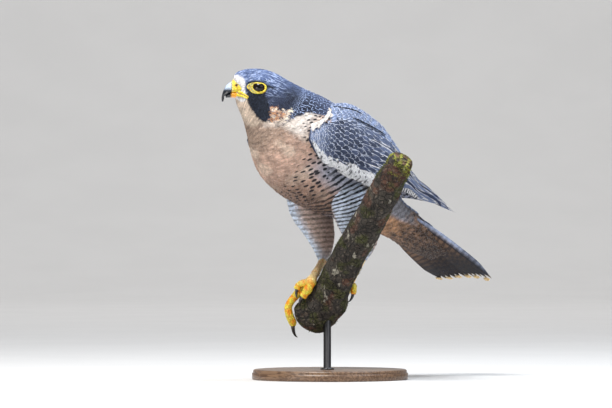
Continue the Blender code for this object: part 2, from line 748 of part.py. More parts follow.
def claw(name, toe, toe_radius, inward, length):
    """A talon that carries on from the toe's end face and hooks in round the branch."""
    ahead = unit(toe[-1] - toe[-2])
    bend = unit(inward - ahead * (inward @ ahead))
    free = name == FREE_CLAW
    hook = FREE_CLAW_HOOK if free else CLAW_HOOK
    length = FREE_CLAW_LENGTH if free else length
    path = []
    radii = []
    for share in np.linspace(0, 1, 6):
        angle = share * CLAW_TURN
        run = length * math.sin(angle) / CLAW_TURN
        drop = length * (1 - math.cos(angle)) / CLAW_TURN
        path.append(toe[-1] + ahead * (GAP + 0.1 + run) + bend * drop * hook)
        radii.append(max(0.35, toe_radius * 0.74 * (1 - share) ** 0.75))
    return tube_object(name, path, radii, "claw_horn", sides=7)


def eye_place(side):
    """Centre of an eyeball, and the way that it looks."""
    forward, left = heading(HEAD_YAW)
    out = unit(left * side * math.cos(math.radians(EYE_TURN)) + forward * math.sin(math.radians(EYE_TURN)))
    lateral = skin_lateral(EYE_REACH, EYE_HEIGHT)
    return head_point(EYE_REACH + 1, EYE_HEIGHT, side * lateral) - out * EYE_DEPTH, out


def lid(name, side):
    """The ring of bare skin round an eye, which follows the skin of the head."""
    out = eye_place(side)[1]
    ring = []
    for angle in np.arange(16) * TURN / 16:
        front = 1.0 + 0.28 * max(0.0, math.cos(angle)) ** 3
        across = math.cos(angle) * LID_RADIUS * 1.04 * front
        high = math.sin(angle) * LID_RADIUS * 0.94
        reach, height = EYE_REACH + across, EYE_HEIGHT + high
        centre = head_point(reach, height, side * skin_lateral(reach, height))
        spoke = unit(centre - head_point(EYE_REACH, EYE_HEIGHT, side * skin_lateral(EYE_REACH, EYE_HEIGHT)))
        section = []
        for turn in np.arange(5) * TURN / 5:
            section.append(centre + LID_THICKNESS * (spoke * math.cos(turn) + out * 1.2 * math.sin(turn)))
        ring.append(section)
    return torus_object(name, ring)


def head():
    made = skin_object("head", SKIN_STATIONS, 0.0, HEAD_END, HEAD_STEP, "slate_feathers", relief=True)
    pieces = []
    cutters = []
    for side_name, side in SIDES.items():
        pieces.append(lid(f"lid_{side_name}", side))
        eye, _ = eye_place(side)
        cutters.append(ball_object("cutter", eye, EYE_RADIUS + GAP, "slate_feathers", across=14, rings=9))
        for line in GAPE_LINES:
            keys = [head_point(reach, z, side * (skin_lateral(reach, z) + 0.1)) for reach, z in line]
            path = spline(keys, np.linspace(0, 2, 4))
            radii = [GAPE_RADIUS] * 3 + [GAPE_RADIUS * 0.6]
            pieces.append(tube_object("gape", path, radii, "yellow_skin", sides=5))
        ball_object(f"eye_{side_name}", eye, EYE_RADIUS, "eye_dark", across=14, rings=9)
    join(made, pieces)
    for stations, sides in ((CERE_STATIONS, CERE_SIDES), (LOWER_BILL_STATIONS, LOWER_BILL_SIDES)):
        cutters.append(skin_object("cutter", stations, 0, 4, 0.5, "slate_feathers", grow=GAP, sides=sides))
    cut(made, cutters)
    return made


def torus_object(name, ring):
    ring = np.asarray(ring)
    count, sides, _ = ring.shape
    faces = []
    for i in range(count):
        for j in range(sides):
            k = (j + 1) % sides
            n = (i + 1) % count
            faces.append((i * sides + j, i * sides + k, n * sides + k, n * sides + j))
    return mesh_object(name, ring.reshape(-1, 3), faces, "yellow_skin")


def bill():
    cere = skin_object("cere", CERE_STATIONS, 0.0, 4.0, 0.5, "yellow_skin", sides=CERE_SIDES)
    drills = []
    for side in SIDES.values():
        ends = [head_point(NOSTRIL_REACH, NOSTRIL_HEIGHT, side * lateral) for lateral in (5.5, 14)]
        drills.append(tube_object("cutter", ends, [NOSTRIL_RADIUS] * 2, "yellow_skin", side_hint=(0, 0, 1)))
    cut(cere, drills)
    skin_object("bill_upper", UPPER_BILL_STATIONS, 0.0, 5.0, 0.5, "bill_horn", sides=CERE_SIDES)
    lower = skin_object("bill_lower", LOWER_BILL_STATIONS, 0.0, 4.0, 0.5, "bill_horn", sides=LOWER_BILL_SIDES)
    above = []
    for stations, end in ((UPPER_BILL_STATIONS, 5), (CERE_STATIONS, 4)):
        above.append(skin_object("cutter", stations, 0, end, 0.5, "bill_horn", grow=GAP, sides=CERE_SIDES))
    cut(lower, above)


def disc_object(name, radius, bottom, top, bevel, slot, sides=36):
    inner = radius - bevel
    profile = [(inner, bottom), (radius, bottom + bevel), (radius, top - bevel), (inner, top)]
    angles = np.arange(sides) * TURN / sides
    rings = [np.stack([r * np.cos(angles), r * np.sin(angles), z + 0 * angles], -1) for r, z in profile]
    return ringed_object(name, rings, slot)


def stand():
    """A round base with a socket, and one rod that stands in it and in the branch."""
    x, y = ROD_PLACE

    def rod(name, radius, bottom, top):
        path = [np.array([x, y, bottom]), np.array([x, y, top])]
        return tube_object(name, path, [radius] * 2, "stand_metal", sides=20)

    base = disc_object("stand_base", BASE_RADIUS, 0.0, BASE_THICKNESS, BASE_EDGE, "stand_wood")
    cut(base, [rod("cutter", ROD_RADIUS + GAP, BASE_THICKNESS - ROD_SOCKET - GAP, BASE_THICKNESS + 5)])
    rod("stand_rod", ROD_RADIUS, BASE_THICKNESS - ROD_SOCKET, ROD_TOP)
    branch = branch_object("branch")
    cut(branch, [rod("cutter", ROD_RADIUS + GAP, 20.0, ROD_TOP + GAP)])


def body():
    neck_start = HEAD_END + STATION_GAP
    torso_start = NECK_END + STATION_GAP
    head()
    bill()
    skin_object("neck", SKIN_STATIONS, neck_start, NECK_END, BODY_STEP, "slate_feathers")
    skin_object("torso", SKIN_STATIONS, torso_start, TORSO_END, BODY_STEP, "pale_feathers")
    for side_name, side in SIDES.items():
        wing(f"wing_{side_name}", side)
        leg(f"leg_{side_name}", side_name)
        _, shank_end, shank_axis = tarsus(f"tarsus_{side_name}", side_name)
        foot(f"foot_{side_name}", side_name, shank_end, shank_axis)
    tail()


def main():
    for old in list(bpy.data.objects):
        bpy.data.objects.remove(old)
    body()
    stand()


main()
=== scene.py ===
import math

import bmesh
import bpy
import numpy as np
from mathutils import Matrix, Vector
from mathutils.kdtree import KDTree


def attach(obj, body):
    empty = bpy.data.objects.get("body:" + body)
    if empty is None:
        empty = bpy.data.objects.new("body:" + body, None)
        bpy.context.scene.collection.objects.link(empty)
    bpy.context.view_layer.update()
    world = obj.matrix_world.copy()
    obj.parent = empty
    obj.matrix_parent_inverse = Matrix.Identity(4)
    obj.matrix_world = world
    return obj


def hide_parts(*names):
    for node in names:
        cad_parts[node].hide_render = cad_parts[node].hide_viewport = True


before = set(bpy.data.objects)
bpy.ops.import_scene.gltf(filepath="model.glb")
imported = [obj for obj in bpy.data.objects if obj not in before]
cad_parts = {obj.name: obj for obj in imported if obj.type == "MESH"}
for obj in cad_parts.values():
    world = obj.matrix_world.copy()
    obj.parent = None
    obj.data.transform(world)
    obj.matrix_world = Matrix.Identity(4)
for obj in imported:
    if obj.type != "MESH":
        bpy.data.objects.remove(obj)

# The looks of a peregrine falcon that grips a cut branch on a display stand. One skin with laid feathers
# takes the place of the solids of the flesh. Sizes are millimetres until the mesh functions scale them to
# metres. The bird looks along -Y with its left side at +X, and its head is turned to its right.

MM = 0.001
TURN = 2 * math.pi
UP = np.array([0.0, 0.0, 1.0])
SIDES = {"left": 1, "right": -1}
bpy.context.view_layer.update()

# Shape of the solids, which the skin follows. Skin stations from the face to the tail, each: yaw in
# degrees, top reach and height, bottom reach and height, half width, the share of the way down that is
# widest, and how far the left side is raised, in degrees.
NECK_PIVOT = np.array([0.0, -80.0, 0.0])
SKIN_STATIONS = [
    (-35, 52.0, 355.5, 50.0, 331.5, 5.6, 0.42, 0),
    (-35, 50.0, 359.5, 49.0, 327.0, 8.0, 0.45, 0),
    (-35, 44.5, 363.0, 47.0, 321.0, 10.4, 0.46, 0),
    (-35, 33.0, 365.3, 44.0, 313.5, 16.4, 0.45, 0),
    (-35, 17.0, 364.8, 41.0, 305.5, 22.8, 0.44, 0),
    (-33, 2.0, 359.8, 38.5, 296.5, 26.0, 0.45, 0),
    (-26, -13, 351.5, 36.0, 285.5, 30.0, 0.47, 0),
    (-16, -28, 344.5, 33.0, 271.0, 37.0, 0.50, 0),
    (-6, -46, 338.5, 25.0, 253.0, 46.0, 0.50, 0),
    (0, -66, 332.0, 12.0, 235, 51.5, 0.50, 0),
    (0, -92, 318.0, -13, 216, 53.5, 0.50, 0),
    (0, -122, 292.0, -46, 202, 50.0, 0.50, 0),
    (0, -148, 262.0, -84, 191, 42.0, 0.50, 0),
    (0, -168, 234.0, -124, 181, 33.0, 0.50, 4),
    (0, -184, 212.0, -162, 172, 26.0, 0.50, 10),
    (0, -208, 194.5, -188, 165, 25.0, 0.50, 18),
    (0, -230, 174.0, -213, 155, 25.0, 0.50, 20),
    (0, -250, 151.5, -240, 146, 18.0, 0.50, 16),
]
SKIN_END = 17.0
HEAD_END = 5.6
HEAD_YAW = -35.0
EYE_REACH = 22.6
EYE_HEIGHT = 342.6
EYE_RADIUS = 8.8
EYE_DEPTH = 6.0
EYE_TURN = 8.0
# Edge of the eye's opening and outer edge of the bare ring round it, as reach and height from the middle
# of the eye.
LID_INNER = [
    (-5.4, 0.0), (-4.7, -2.6), (-2.3, -4.3), (0.6, -4.8), (3.0, -4.7), (6.0, -3.3), (7.6, -1.0), (7.9, 0.8),
    (7.2, 2.8), (5.0, 4.2), (1.4, 4.5), (-2.6, 3.7), (-4.8, 2.0),
]
LID_OUTER = [
    (-7.7, 0.0), (-6.6, -3.9), (-3.2, -6.6), (0.5, -7.3), (3.7, -7.4), (9.1, -6.0), (13.0, -2.3),
    (15.4, 1.0), (12.5, 4.2), (8.0, 5.9), (2.0, 6.1), (-3.5, 5.2), (-6.8, 2.8),
]
BROW_LIFT = 3.0
BROW_RIDGE = (2.0, 7.2, 1.5, 9.0, 2.1)
SOCKET_DIP = 1.6
CERE_STATIONS = [
    (-35, 42.0, 352.0, 41.5, 338.0, 12.6, 0.66, 0),
    (-35, 47.3, 353.0, 45.5, 336.6, 11.0, 0.70, 0),
    (-35, 51.0, 352.8, 49.9, 336.4, 9.5, 0.72, 0),
    (-35, 53.3, 351.6, 53.4, 336.4, 8.2, 0.74, 0),
    (-35, 54.2, 350.2, 54.6, 336.7, 7.5, 0.76, 0),
]
UPPER_BILL_STATIONS = [
    (-35, 54.6, 350.0, 55.0, 336.4, 7.2, 0.80, 0),
    (-35, 58.8, 347.2, 58.3, 335.4, 6.1, 0.82, 0),
    (-35, 62.4, 342.6, 60.8, 333.8, 4.7, 0.80, 0),
    (-35, 64.8, 336.8, 62.6, 333.2, 3.1, 0.70, 0),
    (-35, 65.9, 331.0, 62.9, 330.8, 2.1, 0.50, 0),
    (-35, 65.7, 326.6, 63.9, 326.6, 0.9, 0.50, 0),
]
LOWER_BILL_STATIONS = [
    (-35, 44.0, 339.2, 43.0, 331.4, 9.2, 0.50, 0),
    (-35, 50.5, 339.0, 49.5, 331.0, 7.4, 0.50, 0),
    (-35, 55.5, 338.0, 55.0, 331.2, 5.8, 0.50, 0),
    (-35, 59.0, 336.0, 58.6, 331.0, 4.2, 0.50, 0),
    (-35, 61.4, 334.0, 61.2, 331.0, 2.4, 0.50, 0),
]
# Rear edge of the bare cere, as height and reach.
CERE_EDGE = [(336.5, 45.6), (338.0, 45.0), (341.5, 43.2), (345.0, 46.0), (348.8, 50.0), (352.5, 52.6)]
NOSTRIL_REACH = 49.0
NOSTRIL_HEIGHT = 345.4
NOSTRIL_RADIUS = 1.5
GAPE_LINES = [
    [(46.5, 338.0), (41.6, 335.6), (35.6, 331.2)],
    [(48.0, 334.2), (41.6, 332.4), (36.4, 329.8)],
]
WING_RIDGE = [
    (46, -68, 298),
    (36, -33, 316),
    (28, 0, 320),
    (22, 31, 313),
    (19, 66, 295),
    (17, 92, 271),
    (15, 115, 246),
    (12, 146, 228),
    (9, 183, 204),
]
WING_LOWER = [
    (58, -78, 284),
    (60, -60, 262),
    (59, -28, 249),
    (56, 0, 239),
    (50, 40, 232),
    (39, 86, 226),
    (30, 113, 216),
    (19, 152, 207),
    (9, 183, 199),
]
WING_BULGE = [1, 6, 9, 10, 9, 6, 4, 2, 0]
WING_DEPTH = [7, 9, 9, 8, 7, 6, 5, 4, 3]
WING_CORE_END = 0.70
FAR_WING_LIFT = 7.0
TAIL_ROOT = np.array([0.0, 98.0, 194.7])
TAIL_WAY = np.array([0.0, 0.841, -0.542])
TAIL_VANE = 8.0
TAIL_BAR = 11.0
TAIL_PITCH = 32.8
TAIL_LENGTH = 141.0
TAIL_ROLL_ROOT = 26.5
TAIL_ROLL_TIP = 1.5
TAIL_FEATHERS_A_SIDE = 6
TAIL_FAN_STEP = {"left": 2.4, "right": 2.2}
TAIL_OUTER_GAIN = {"left": 0.14, "right": -0.2}
TAIL_SPREAD_STEP = 2.4
RECTRIX_HALF_WIDTH = 10.5
BRANCH_FOOT = np.array([-19.9, -11.0, 65.3])
BRANCH_AXIS = np.array([0.644, 0.0, 0.765])
BRANCH_LENGTH = 253.0
BRANCH_RADII = [(0, 18.5), (14, 22.5), (40, 22.0), (64, 19.8), (190, 18.8), (232, 16.0), (253, 14.0)]
# Swellings of the bark: place along it, degrees round it, height, and spreads along it and in radians.
BURLS = [(14, 84, 9.0, 17, 0.75), (36, 237, 5.5, 17, 0.8)]
LEG_STATIONS = {
    "left": [
        (22, 0, 250, 3, 6),
        (28, 2, 238, 15, 21),
        (32, 6, 214, 22, 29),
        (31, 15, 189, 21, 29),
        (28, 24, 168, 16, 24),
        (23, 31, 151, 10, 14),
        (19, 33, 141, 5.6, 6.2),
    ],
    "right": [
        (-22, -6, 250, 3, 6),
        (-28, -6, 238, 15, 21),
        (-31, -6, 214, 22, 29),
        (-31, -1, 191, 20.5, 27),
        (-28, 7, 171, 16, 20),
        (-23, 8.5, 153, 10, 12.5),
        (-18, 4, 139, 4.9, 5.4),
    ],
}
TARSUS_RADIUS = 4.5
FOOT_VOXEL = 0.42
LEG_MIDDLE = 45.0
FOOT_BALLS = {"left": (45.0, -80.0), "right": (57.0, 66.0)}
BALL_RADIUS = 6.6
PAD_SHARES = [0.0, 0.35, 0.7, 0.95, 1.15, 1.28]
PAD_SIZES = [1.0, 1.08, 1.28, 1.42, 1.2, 0.6]
# Toes: steps along the branch and round it from the ball, lift off the bark, and radius at the root.
TOES = {
    "left": {
        "inner": ([(6, 16, 0), (13, 34, 0), (19, 50, 0)], 4.3),
        "middle": ([(1, 18, 0), (3, 34, 0), (5, 48, 0)], 4.5),
        "outer": ([(-9, 14, 0), (-18, 28, 0), (-25, 40, 0)], 4.2),
        "hind": ([(16, -19, 0), (22, -36, 0), (15, -49, 1)], 3.8),
    },
    "right": {
        "inner": ([(-7, 7, 1), (-14, 11, 2), (-20, 13, 3)], 5.2),
        "middle": ([(-12, -20, 2), (-34, -7, 3), (-60, 22, 0)], 5.2),
        "outer": ([(-7, -8, 6), (-13, -9, 11), (-18, -3, 11)], 4.2),
        "hind": ([(-6, -22, 0), (-14, -42, 0), (-22, -58, 0)], 4.6),
    },
}
CLAW_LENGTHS = {"inner": 16.0, "middle": 18.0, "outer": 14.0, "hind": 16.0}
CLAW_TURN = 1.35
CLAW_HOOK = 0.6
FREE_CLAW = "claw_right_middle"
FREE_CLAW_HOOK = 0.6
FREE_CLAW_LENGTH = 23.0
BASE_RADIUS = 92.0
BASE_THICKNESS = 12.0
ROD_RADIUS = 4.5
ROD_PLACE = (8.0, -11.0)
ROD_TOP = 82.0

# Plumage. The coat's depth under the solid's surface, from the face to the tail, as station and depth.
COAT_DEPTHS = [(0, 0.7), (3, 1.0), (5, 1.2), (7, 1.8), (9, 2.2), (14, 2.2), (17, 1.6)]
# Where the slate upperparts end, in degrees from the top of the back, at each station.
DARK_EDGE = [
    (0.0, 40), (2.7, 96), (3.1, 107), (3.43, 113), (3.75, 120), (4.17, 123), (4.7, 124), (5.18, 125),
    (5.65, 125), (6.10, 121), (6.28, 115), (6.50, 110), (6.78, 102), (7.1, 94), (7.3, 86), (7.5, 78),
    (7.65, 71), (8.5, 64), (10, 62), (13, 60), (17, 62),
]
# The white forehead ends at these stations, at each angle from the top.
FOREHEAD_END = [
    (0, 0.45), (26, 0.95), (40, 1.65), (52, 2.2), (63, 2.62), (76, 2.78), (91, 2.8), (101, 3.05),
    (118, 3.35), (127, 2.9), (138, 1.6), (180, 0.4),
]
# Black moustache and cheek, rufous ear patch and the pale hook behind it, as outlines in station and
# degrees from the top.
MOUSTACHE = [
    (3.0, 82), (3.3, 103), (3.43, 118), (3.75, 126), (4.7, 129), (5.65, 130), (6.12, 127), (6.30, 115),
    (6.15, 107), (5.88, 101), (5.6, 95), (5.3, 90), (4.95, 84), (4.2, 92), (3.7, 90),
]
EAR_PATCH = [
    (6.15, 107), (5.93, 101), (5.82, 96), (5.84, 92), (6.08, 88), (6.3, 90), (6.5, 89), (6.62, 83),
    (6.76, 80), (6.84, 88), (6.86, 96), (6.72, 103), (6.42, 111), (6.28, 113),
]
EAR_HOOK = [(6.80, 84), (6.80, 77), (6.90, 74), (7.01, 79), (7.04, 92), (6.96, 99), (6.78, 105), (6.87, 96)]
# Painted shadow over the eye and behind it, under the brow, and where the painted shadow in the crease
# under the ear lies at each angle.
BROW_SHADOW_LINE = [(2.7, 84), (3.0, 76), (3.23, 71), (3.95, 65.5), (4.65, 67), (5.35, 62)]
SHADOW_CREASE = [(92, 7.16), (97, 7.14), (103, 7.07), (110, 6.88)]
SPOTS_START = [(60, 7.4), (97, 7.8), (111, 8.5), (126, 8.8), (157, 9.2), (180, 9.5)]
BARS_START = [(60, 9.4), (97, 9.6), (110, 9.9), (136, 10.5), (166, 10.7), (180, 10.8)]

# Colours, as linear red, green and blue.
SLATE = (0.058, 0.073, 0.138)
SLATE_DARK = (0.007, 0.010, 0.019)
SLATE_PALE = (0.46, 0.58, 0.88)
CROWN = (0.088, 0.130, 0.270)
CHEEK = (0.036, 0.050, 0.108)
NAPE = (0.016, 0.021, 0.042)
FOREHEAD = (0.88, 0.86, 0.88)
CREAM = (0.86, 0.72, 0.58)
THROAT = (0.34, 0.24, 0.18)
BREAST = (0.66, 0.44, 0.34)
FLANK = (0.47, 0.49, 0.60)
# Painted shade: the dark brown of the lower breast and belly, where shade falls under the breast.
BELLY_SHADE = (0.18, 0.108, 0.076)
THIGH = (0.70, 0.79, 0.95)
# The vent's own orange buff, which is also laid on the legs' inner and rear sides as painted shade.
VENT_BUFF_AND_LEG_SHADE = (0.50, 0.28, 0.15)
UNDERTAIL = (0.25, 0.25, 0.28)
UNDER_WING = (0.40, 0.39, 0.42)
RUFOUS = (0.56, 0.28, 0.13)
TAIL_BUFF = (0.27, 0.16, 0.10)
TAIL_END = (0.026, 0.021, 0.022)
TAIL_TIP = (0.90, 0.66, 0.34)
WHITE = (0.90, 0.89, 0.90)
YELLOW = (0.84, 0.76, 0.075)
ORANGE = (0.95, 0.40, 0.01)
SHANK_YELLOW = (0.95, 0.80, 0.46)
# Olive painted shade in the front point of the bare ring round the eye.
LID_OLIVE_SHADE = (0.42, 0.44, 0.20)
HORN_PALE = (0.50, 0.60, 0.76)
HORN_DARK = (0.012, 0.015, 0.022)
TALON_BLACK = (0.012, 0.012, 0.014)
TALON_ROOT = (0.10, 0.085, 0.075)
NOSTRIL_RED = (0.45, 0.10, 0.03)
# Painted shade in the hollow of the nostril.
NOSTRIL_SHADE = (0.08, 0.02, 0.01)


def spline(keys, t):
    """Catmull-Rom curve through the rows of keys, where t counts keys from 0."""
    keys = np.asarray(keys, float)
    t = np.clip(np.atleast_1d(np.asarray(t, float)), 0, len(keys) - 1)
    first = np.minimum(t.astype(int), len(keys) - 2)
    f = (t - first)[:, None]
    padded = np.vstack([2 * keys[0] - keys[1], keys, 2 * keys[-1] - keys[-2]])
    p0, p1, p2, p3 = (padded[first + k] for k in range(4))
    cubic = 3 * p1 - p0 - 3 * p2 + p3
    return 0.5 * (2 * p1 + (p2 - p0) * f + (2 * p0 - 5 * p1 + 4 * p2 - p3) * f**2 + cubic * f**3)


def unit(v):
    return v / np.maximum(np.linalg.norm(v, axis=-1, keepdims=True), 1e-9)


def blend(a, b, share):
    """Mixes two colours, or arrays of them, by a share from 0 to 1."""
    share = np.clip(np.asarray(share, float), 0, 1)[..., None]
    return np.asarray(a) * (1 - share) + np.asarray(b) * share


def painted(colour, *layers):
    """Lays more colours over a first one, each by its share."""
    for added, share in layers:
        colour = blend(colour, added, share)
    return colour


def smooth(low, high, value):
    """Rises smoothly from 0 at low to 1 at high."""
    share = np.clip((np.asarray(value, float) - low) / (high - low), 0, 1)
    return share * share * (3 - 2 * share)


def hump(away, spread):
    """A smooth hump, 1 high where away is 0."""
    return np.exp(-((away / spread) ** 2))


def between(table, value):
    """Looks value up in a table of pairs, with straight lines between them."""
    places, results = zip(*table)
    return np.interp(value, places, results)


def inside(outline, x, y):
    """True for the points that lie within a closed outline."""
    found = np.zeros(np.shape(x), bool)
    for (x0, y0), (x1, y1) in zip(outline, outline[1:] + outline[:1]):
        crosses = (y0 > y) != (y1 > y)
        found ^= crosses & (x < (x1 - x0) * (y - y0) / ((y1 - y0) or 1e-9) + x0)
    return found


def ripple(points, size, seed, waves=14):
    """A smooth random value from about -1 to 1 at each point, that changes over the given size."""
    chance = np.random.default_rng(seed)
    total = np.zeros(np.shape(points)[:-1])
    for _ in range(waves):
        way = unit(chance.normal(size=3)) * TURN / (size * chance.uniform(0.7, 1.6))
        total += np.sin(points @ way + chance.uniform(0, TURN))
    return total / math.sqrt(waves) * 1.2


def heading(yaw):
    """Forward and left directions at a yaw in degrees, negative towards the bird's right."""
    yaw = np.radians(yaw)
    forward = np.stack([np.sin(yaw), -np.cos(yaw), 0 * yaw], -1)
    left = np.stack([np.cos(yaw), np.sin(yaw), 0 * yaw], -1)
    return forward, left


def head_point(reach, height, lateral):
    forward, left = heading(HEAD_YAW)
    return NECK_PIVOT + forward * reach + left * lateral + UP * height


def head_place(points):
    """Reach, height and lateral of points in the head's own frame."""
    forward, left = heading(HEAD_YAW)
    away = points - NECK_PIVOT
    return away @ forward, away[..., 2], away @ left


def ring_points(stations, t, angle, grow=0.0):
    """Points on a loft through the stations: angle 0 is the bird's left, a quarter turn is the top."""
    k = spline(stations, t)
    grow = (np.zeros(len(k)) + grow)[:, None]
    forward, left = heading(k[:, 0])
    top = NECK_PIVOT + forward * k[:, 1:2] + UP * k[:, 2:3]
    bottom = NECK_PIVOT + forward * k[:, 3:4] + UP * k[:, 4:5]
    along = unit(top - bottom) * grow
    top = top + along
    bottom = bottom - along
    middle = top + (bottom - top) * k[:, 6:7]
    cosine = np.cos(angle)[:, None]
    sine = np.sin(angle)[:, None]
    rise = np.where(sine > 0, (top - middle) * sine, (middle - bottom) * sine)
    raised = left + UP * np.tan(np.radians(k[:, 7:8]))
    return middle + rise + raised * (k[:, 5:6] + grow) * cosine


def head_relief(points):
    """Points of the head moved out at the brow ridges and in where the eyes sit."""
    shift = np.zeros_like(points)
    forward, left = heading(HEAD_YAW)
    ahead, above, rise, long, high = BROW_RIDGE
    for side in SIDES.values():
        out = left * side
        from_eye = points - head_point(EYE_REACH, EYE_HEIGHT, side * 20)
        from_brow = points - head_point(EYE_REACH + 1, EYE_HEIGHT + 9, side * 19)
        dip = hump(np.linalg.norm(from_eye, axis=1), 7.5)
        stretched = from_brow - np.outer(from_brow @ forward, forward) * 0.45
        lift = hump(np.linalg.norm(stretched, axis=1), 4.6)
        ridge = rise * hump(from_eye @ forward - ahead, long) * hump(from_eye[:, 2] - above, high)
        ridge = ridge * (from_eye @ out > -12)
        shift += np.outer(lift * BROW_LIFT - dip * SOCKET_DIP + ridge, out)
    return points + shift


def skin_point(t, angle, grow=0.0):
    return head_relief(ring_points(SKIN_STATIONS, t, angle, grow))


HEAD_TABLE = {}


def skin_lateral(reach, height):
    """How far the head's skin stands out to the side at a reach and a height."""
    if not HEAD_TABLE:
        t, angle = np.meshgrid(np.linspace(0, HEAD_END, 240), np.linspace(-1.4, 1.4, 300))
        reaches, heights, laterals = head_place(skin_point(t.ravel(), angle.ravel()))
        tree = KDTree(len(reaches))
        for number, (x, y) in enumerate(zip(reaches, heights)):
            tree.insert((x, y, 0.0), number)
        tree.balance()
        HEAD_TABLE["tree"], HEAD_TABLE["laterals"] = tree, laterals
    near = HEAD_TABLE["tree"].find_n((reach, height, 0.0), 5)
    weights = [1 / (away + 0.05) for _, _, away in near]
    return float(np.average([HEAD_TABLE["laterals"][number] for _, number, _ in near], weights=weights))


def wing_point(side, u, v, h=0.0):
    """A point on the folded wing's outer face: u runs wrist to tip, v from the ridge to the lower edge."""
    u = np.atleast_1d(u)
    t = np.clip(u, 0, 1) * (len(WING_RIDGE) - 1)
    v = np.atleast_1d(v)[:, None]
    delta = 0.05
    rows = []
    for shift in (-delta, 0, delta):
        rows.append((spline(WING_RIDGE, t + shift), spline(WING_LOWER, t + shift)))
    ridge, lower = rows[1]
    flat = ridge + (lower - ridge) * v
    ahead = rows[2][0] * (1 - v) + rows[2][1] * v - rows[0][0] * (1 - v) - rows[0][1] * v
    out = unit(np.cross(lower - ridge, ahead) * -1.0)
    out = np.where(out[:, :1] < 0, -out, out)
    bulge = spline(np.array(WING_BULGE, float)[:, None], t)
    spare = np.clip(v, -0.2, 1.2)
    point = flat + out * (bulge * 4 * spare * (1 - spare) + np.atleast_1d(h)[:, None])
    if side == SIDES["right"]:
        point = point + UP * FAR_WING_LIFT * u[:, None] ** 2
    return point * np.array([side, 1.0, 1.0])


def tail_point(a, b, h=0.0):
    """A point on the tail fan's upper face: a along it from its root, b across to the bird's left."""
    a, b = np.asarray(a, float)[..., None], np.asarray(b, float)[..., None]
    pitch = math.radians(TAIL_PITCH)
    along = np.array([0.0, math.cos(pitch), -math.sin(pitch)])
    upward = np.array([0.0, math.sin(pitch), math.cos(pitch)])
    roll = np.radians(TAIL_ROLL_ROOT + (TAIL_ROLL_TIP - TAIL_ROLL_ROOT) * a / TAIL_LENGTH)
    left = np.concatenate([np.cos(roll), 0 * roll, np.sin(roll)], -1)
    return TAIL_ROOT + along * a + left * b + upward * h


def branch_radius(s, turn):
    """Radius of the branch s along it, turned from its upper side to the bird's front, in radians."""
    base = between(BRANCH_RADII, s)
    knots = 0.5 * np.sin(3 * turn + s / 19) + 0.4 * np.sin(2 * turn - s / 11 + 1)
    burls = 0.0
    for middle, degrees, height, long, wide in BURLS:
        away = (turn - math.radians(degrees) + math.pi) % TURN - math.pi
        burls = burls + height * hump(away, wide) * hump(s - middle, long)
    return base + knots + burls


def branch_direction(turn):
    """The way out from the branch's axis."""
    turn = np.asarray(turn, float)[..., None]
    upper = unit(UP - BRANCH_AXIS * (UP @ BRANCH_AXIS))
    return upper * np.cos(turn) + np.array([0.0, -1.0, 0.0]) * np.sin(turn)


def branch_point(s, turn, height):
    """A point on the branch, at a height over its bark."""
    s, turn = np.asarray(s, float), np.asarray(turn, float)
    radius = branch_radius(np.clip(s, 0, BRANCH_LENGTH), turn) + height
    return BRANCH_FOOT + BRANCH_AXIS * s[..., None] + branch_direction(turn) * radius[..., None]


def branch_unwrap(points, start):
    """An unwrap of points on the branch: round it one way and along it the other."""
    away = points - BRANCH_FOOT
    round_it = np.arctan2(-away[:, 1], away @ branch_direction(0.0)) / TURN + 0.5
    return np.stack([round_it, away @ BRANCH_AXIS / 300 + start], -1)


# Meshes.


def store_points(mesh, attributes, uvs):
    """Writes colours at the points, and UV maps from values at the points."""
    for name, values in attributes.items():
        values = np.asarray(values, np.float32)
        if values.shape[1] == 3:
            last = 0.0 if name == "marks" else 1.0
            values = np.hstack([values, np.full((len(values), 1), last, np.float32)])
        layer = mesh.color_attributes.new(name, "FLOAT_COLOR", "POINT")
        layer.data.foreach_set("color", values.ravel())
    corners = np.empty(len(mesh.loops), np.int32)
    mesh.loops.foreach_get("vertex_index", corners)
    for name, values in uvs.items():
        layer = mesh.uv_layers.new(name=name)
        layer.data.foreach_set("uv", np.asarray(values, np.float32)[corners].ravel())


def linked(name, data):
    """A new object in the scene."""
    made = bpy.data.objects.new(name, data)
    bpy.context.scene.collection.objects.link(made)
    return made


def smooth_object(name, mesh, material, attributes, uvs):
    mesh.shade_smooth()
    store_points(mesh, attributes, uvs)
    mesh.materials.append(material)
    return linked(name, mesh)


def quad_object(name, points, quads, material, attributes, uvs):
    """A mesh object from arrays of points in millimetres and of four-cornered faces."""
    mesh = bpy.data.meshes.new(name)
    mesh.vertices.add(len(points))
    mesh.vertices.foreach_set("co", (np.asarray(points) * MM).astype(np.float32).ravel())
    mesh.loops.add(quads.size)
    mesh.loops.foreach_set("vertex_index", quads.astype(np.int32).ravel())
    mesh.polygons.add(len(quads))
    mesh.polygons.foreach_set("loop_start", np.arange(0, quads.size, 4, dtype=np.int32))
    mesh.update(calc_edges=True)
    return smooth_object(name, mesh, material, attributes, uvs)


def plain_object(name, points, faces, material, attributes=None, uvs=None):
    """A mesh object from points in millimetres and faces of any size, turned outwards."""
    mesh = bpy.data.meshes.new(name)
    mesh.from_pydata((np.asarray(points) * MM).tolist(), [], faces)
    edit = bmesh.new()
    edit.from_mesh(mesh)
    bmesh.ops.recalc_face_normals(edit, faces=edit.faces[:])
    edit.to_mesh(mesh)
    edit.free()
    return smooth_object(name, mesh, material, attributes or {}, uvs or {})


def grid_faces(rows, columns, close_rows=False, close_columns=True):
    """Four-cornered faces between neighbours in a grid of points, which may close on itself either way."""
    faces = []
    for i in range(rows if close_rows else rows - 1):
        here, ahead = i * columns, (i + 1) % rows * columns
        for j in range(columns if close_columns else columns - 1):
            k = (j + 1) % columns
            faces.append((here + j, here + k, ahead + k, ahead + j))
    return faces


def ring_faces(count, sides):
    """The faces of a tube of rings, closed at both ends."""
    first = tuple(range(sides))
    last = tuple(range((count - 1) * sides, count * sides))
    return grid_faces(count, sides) + [first, last]


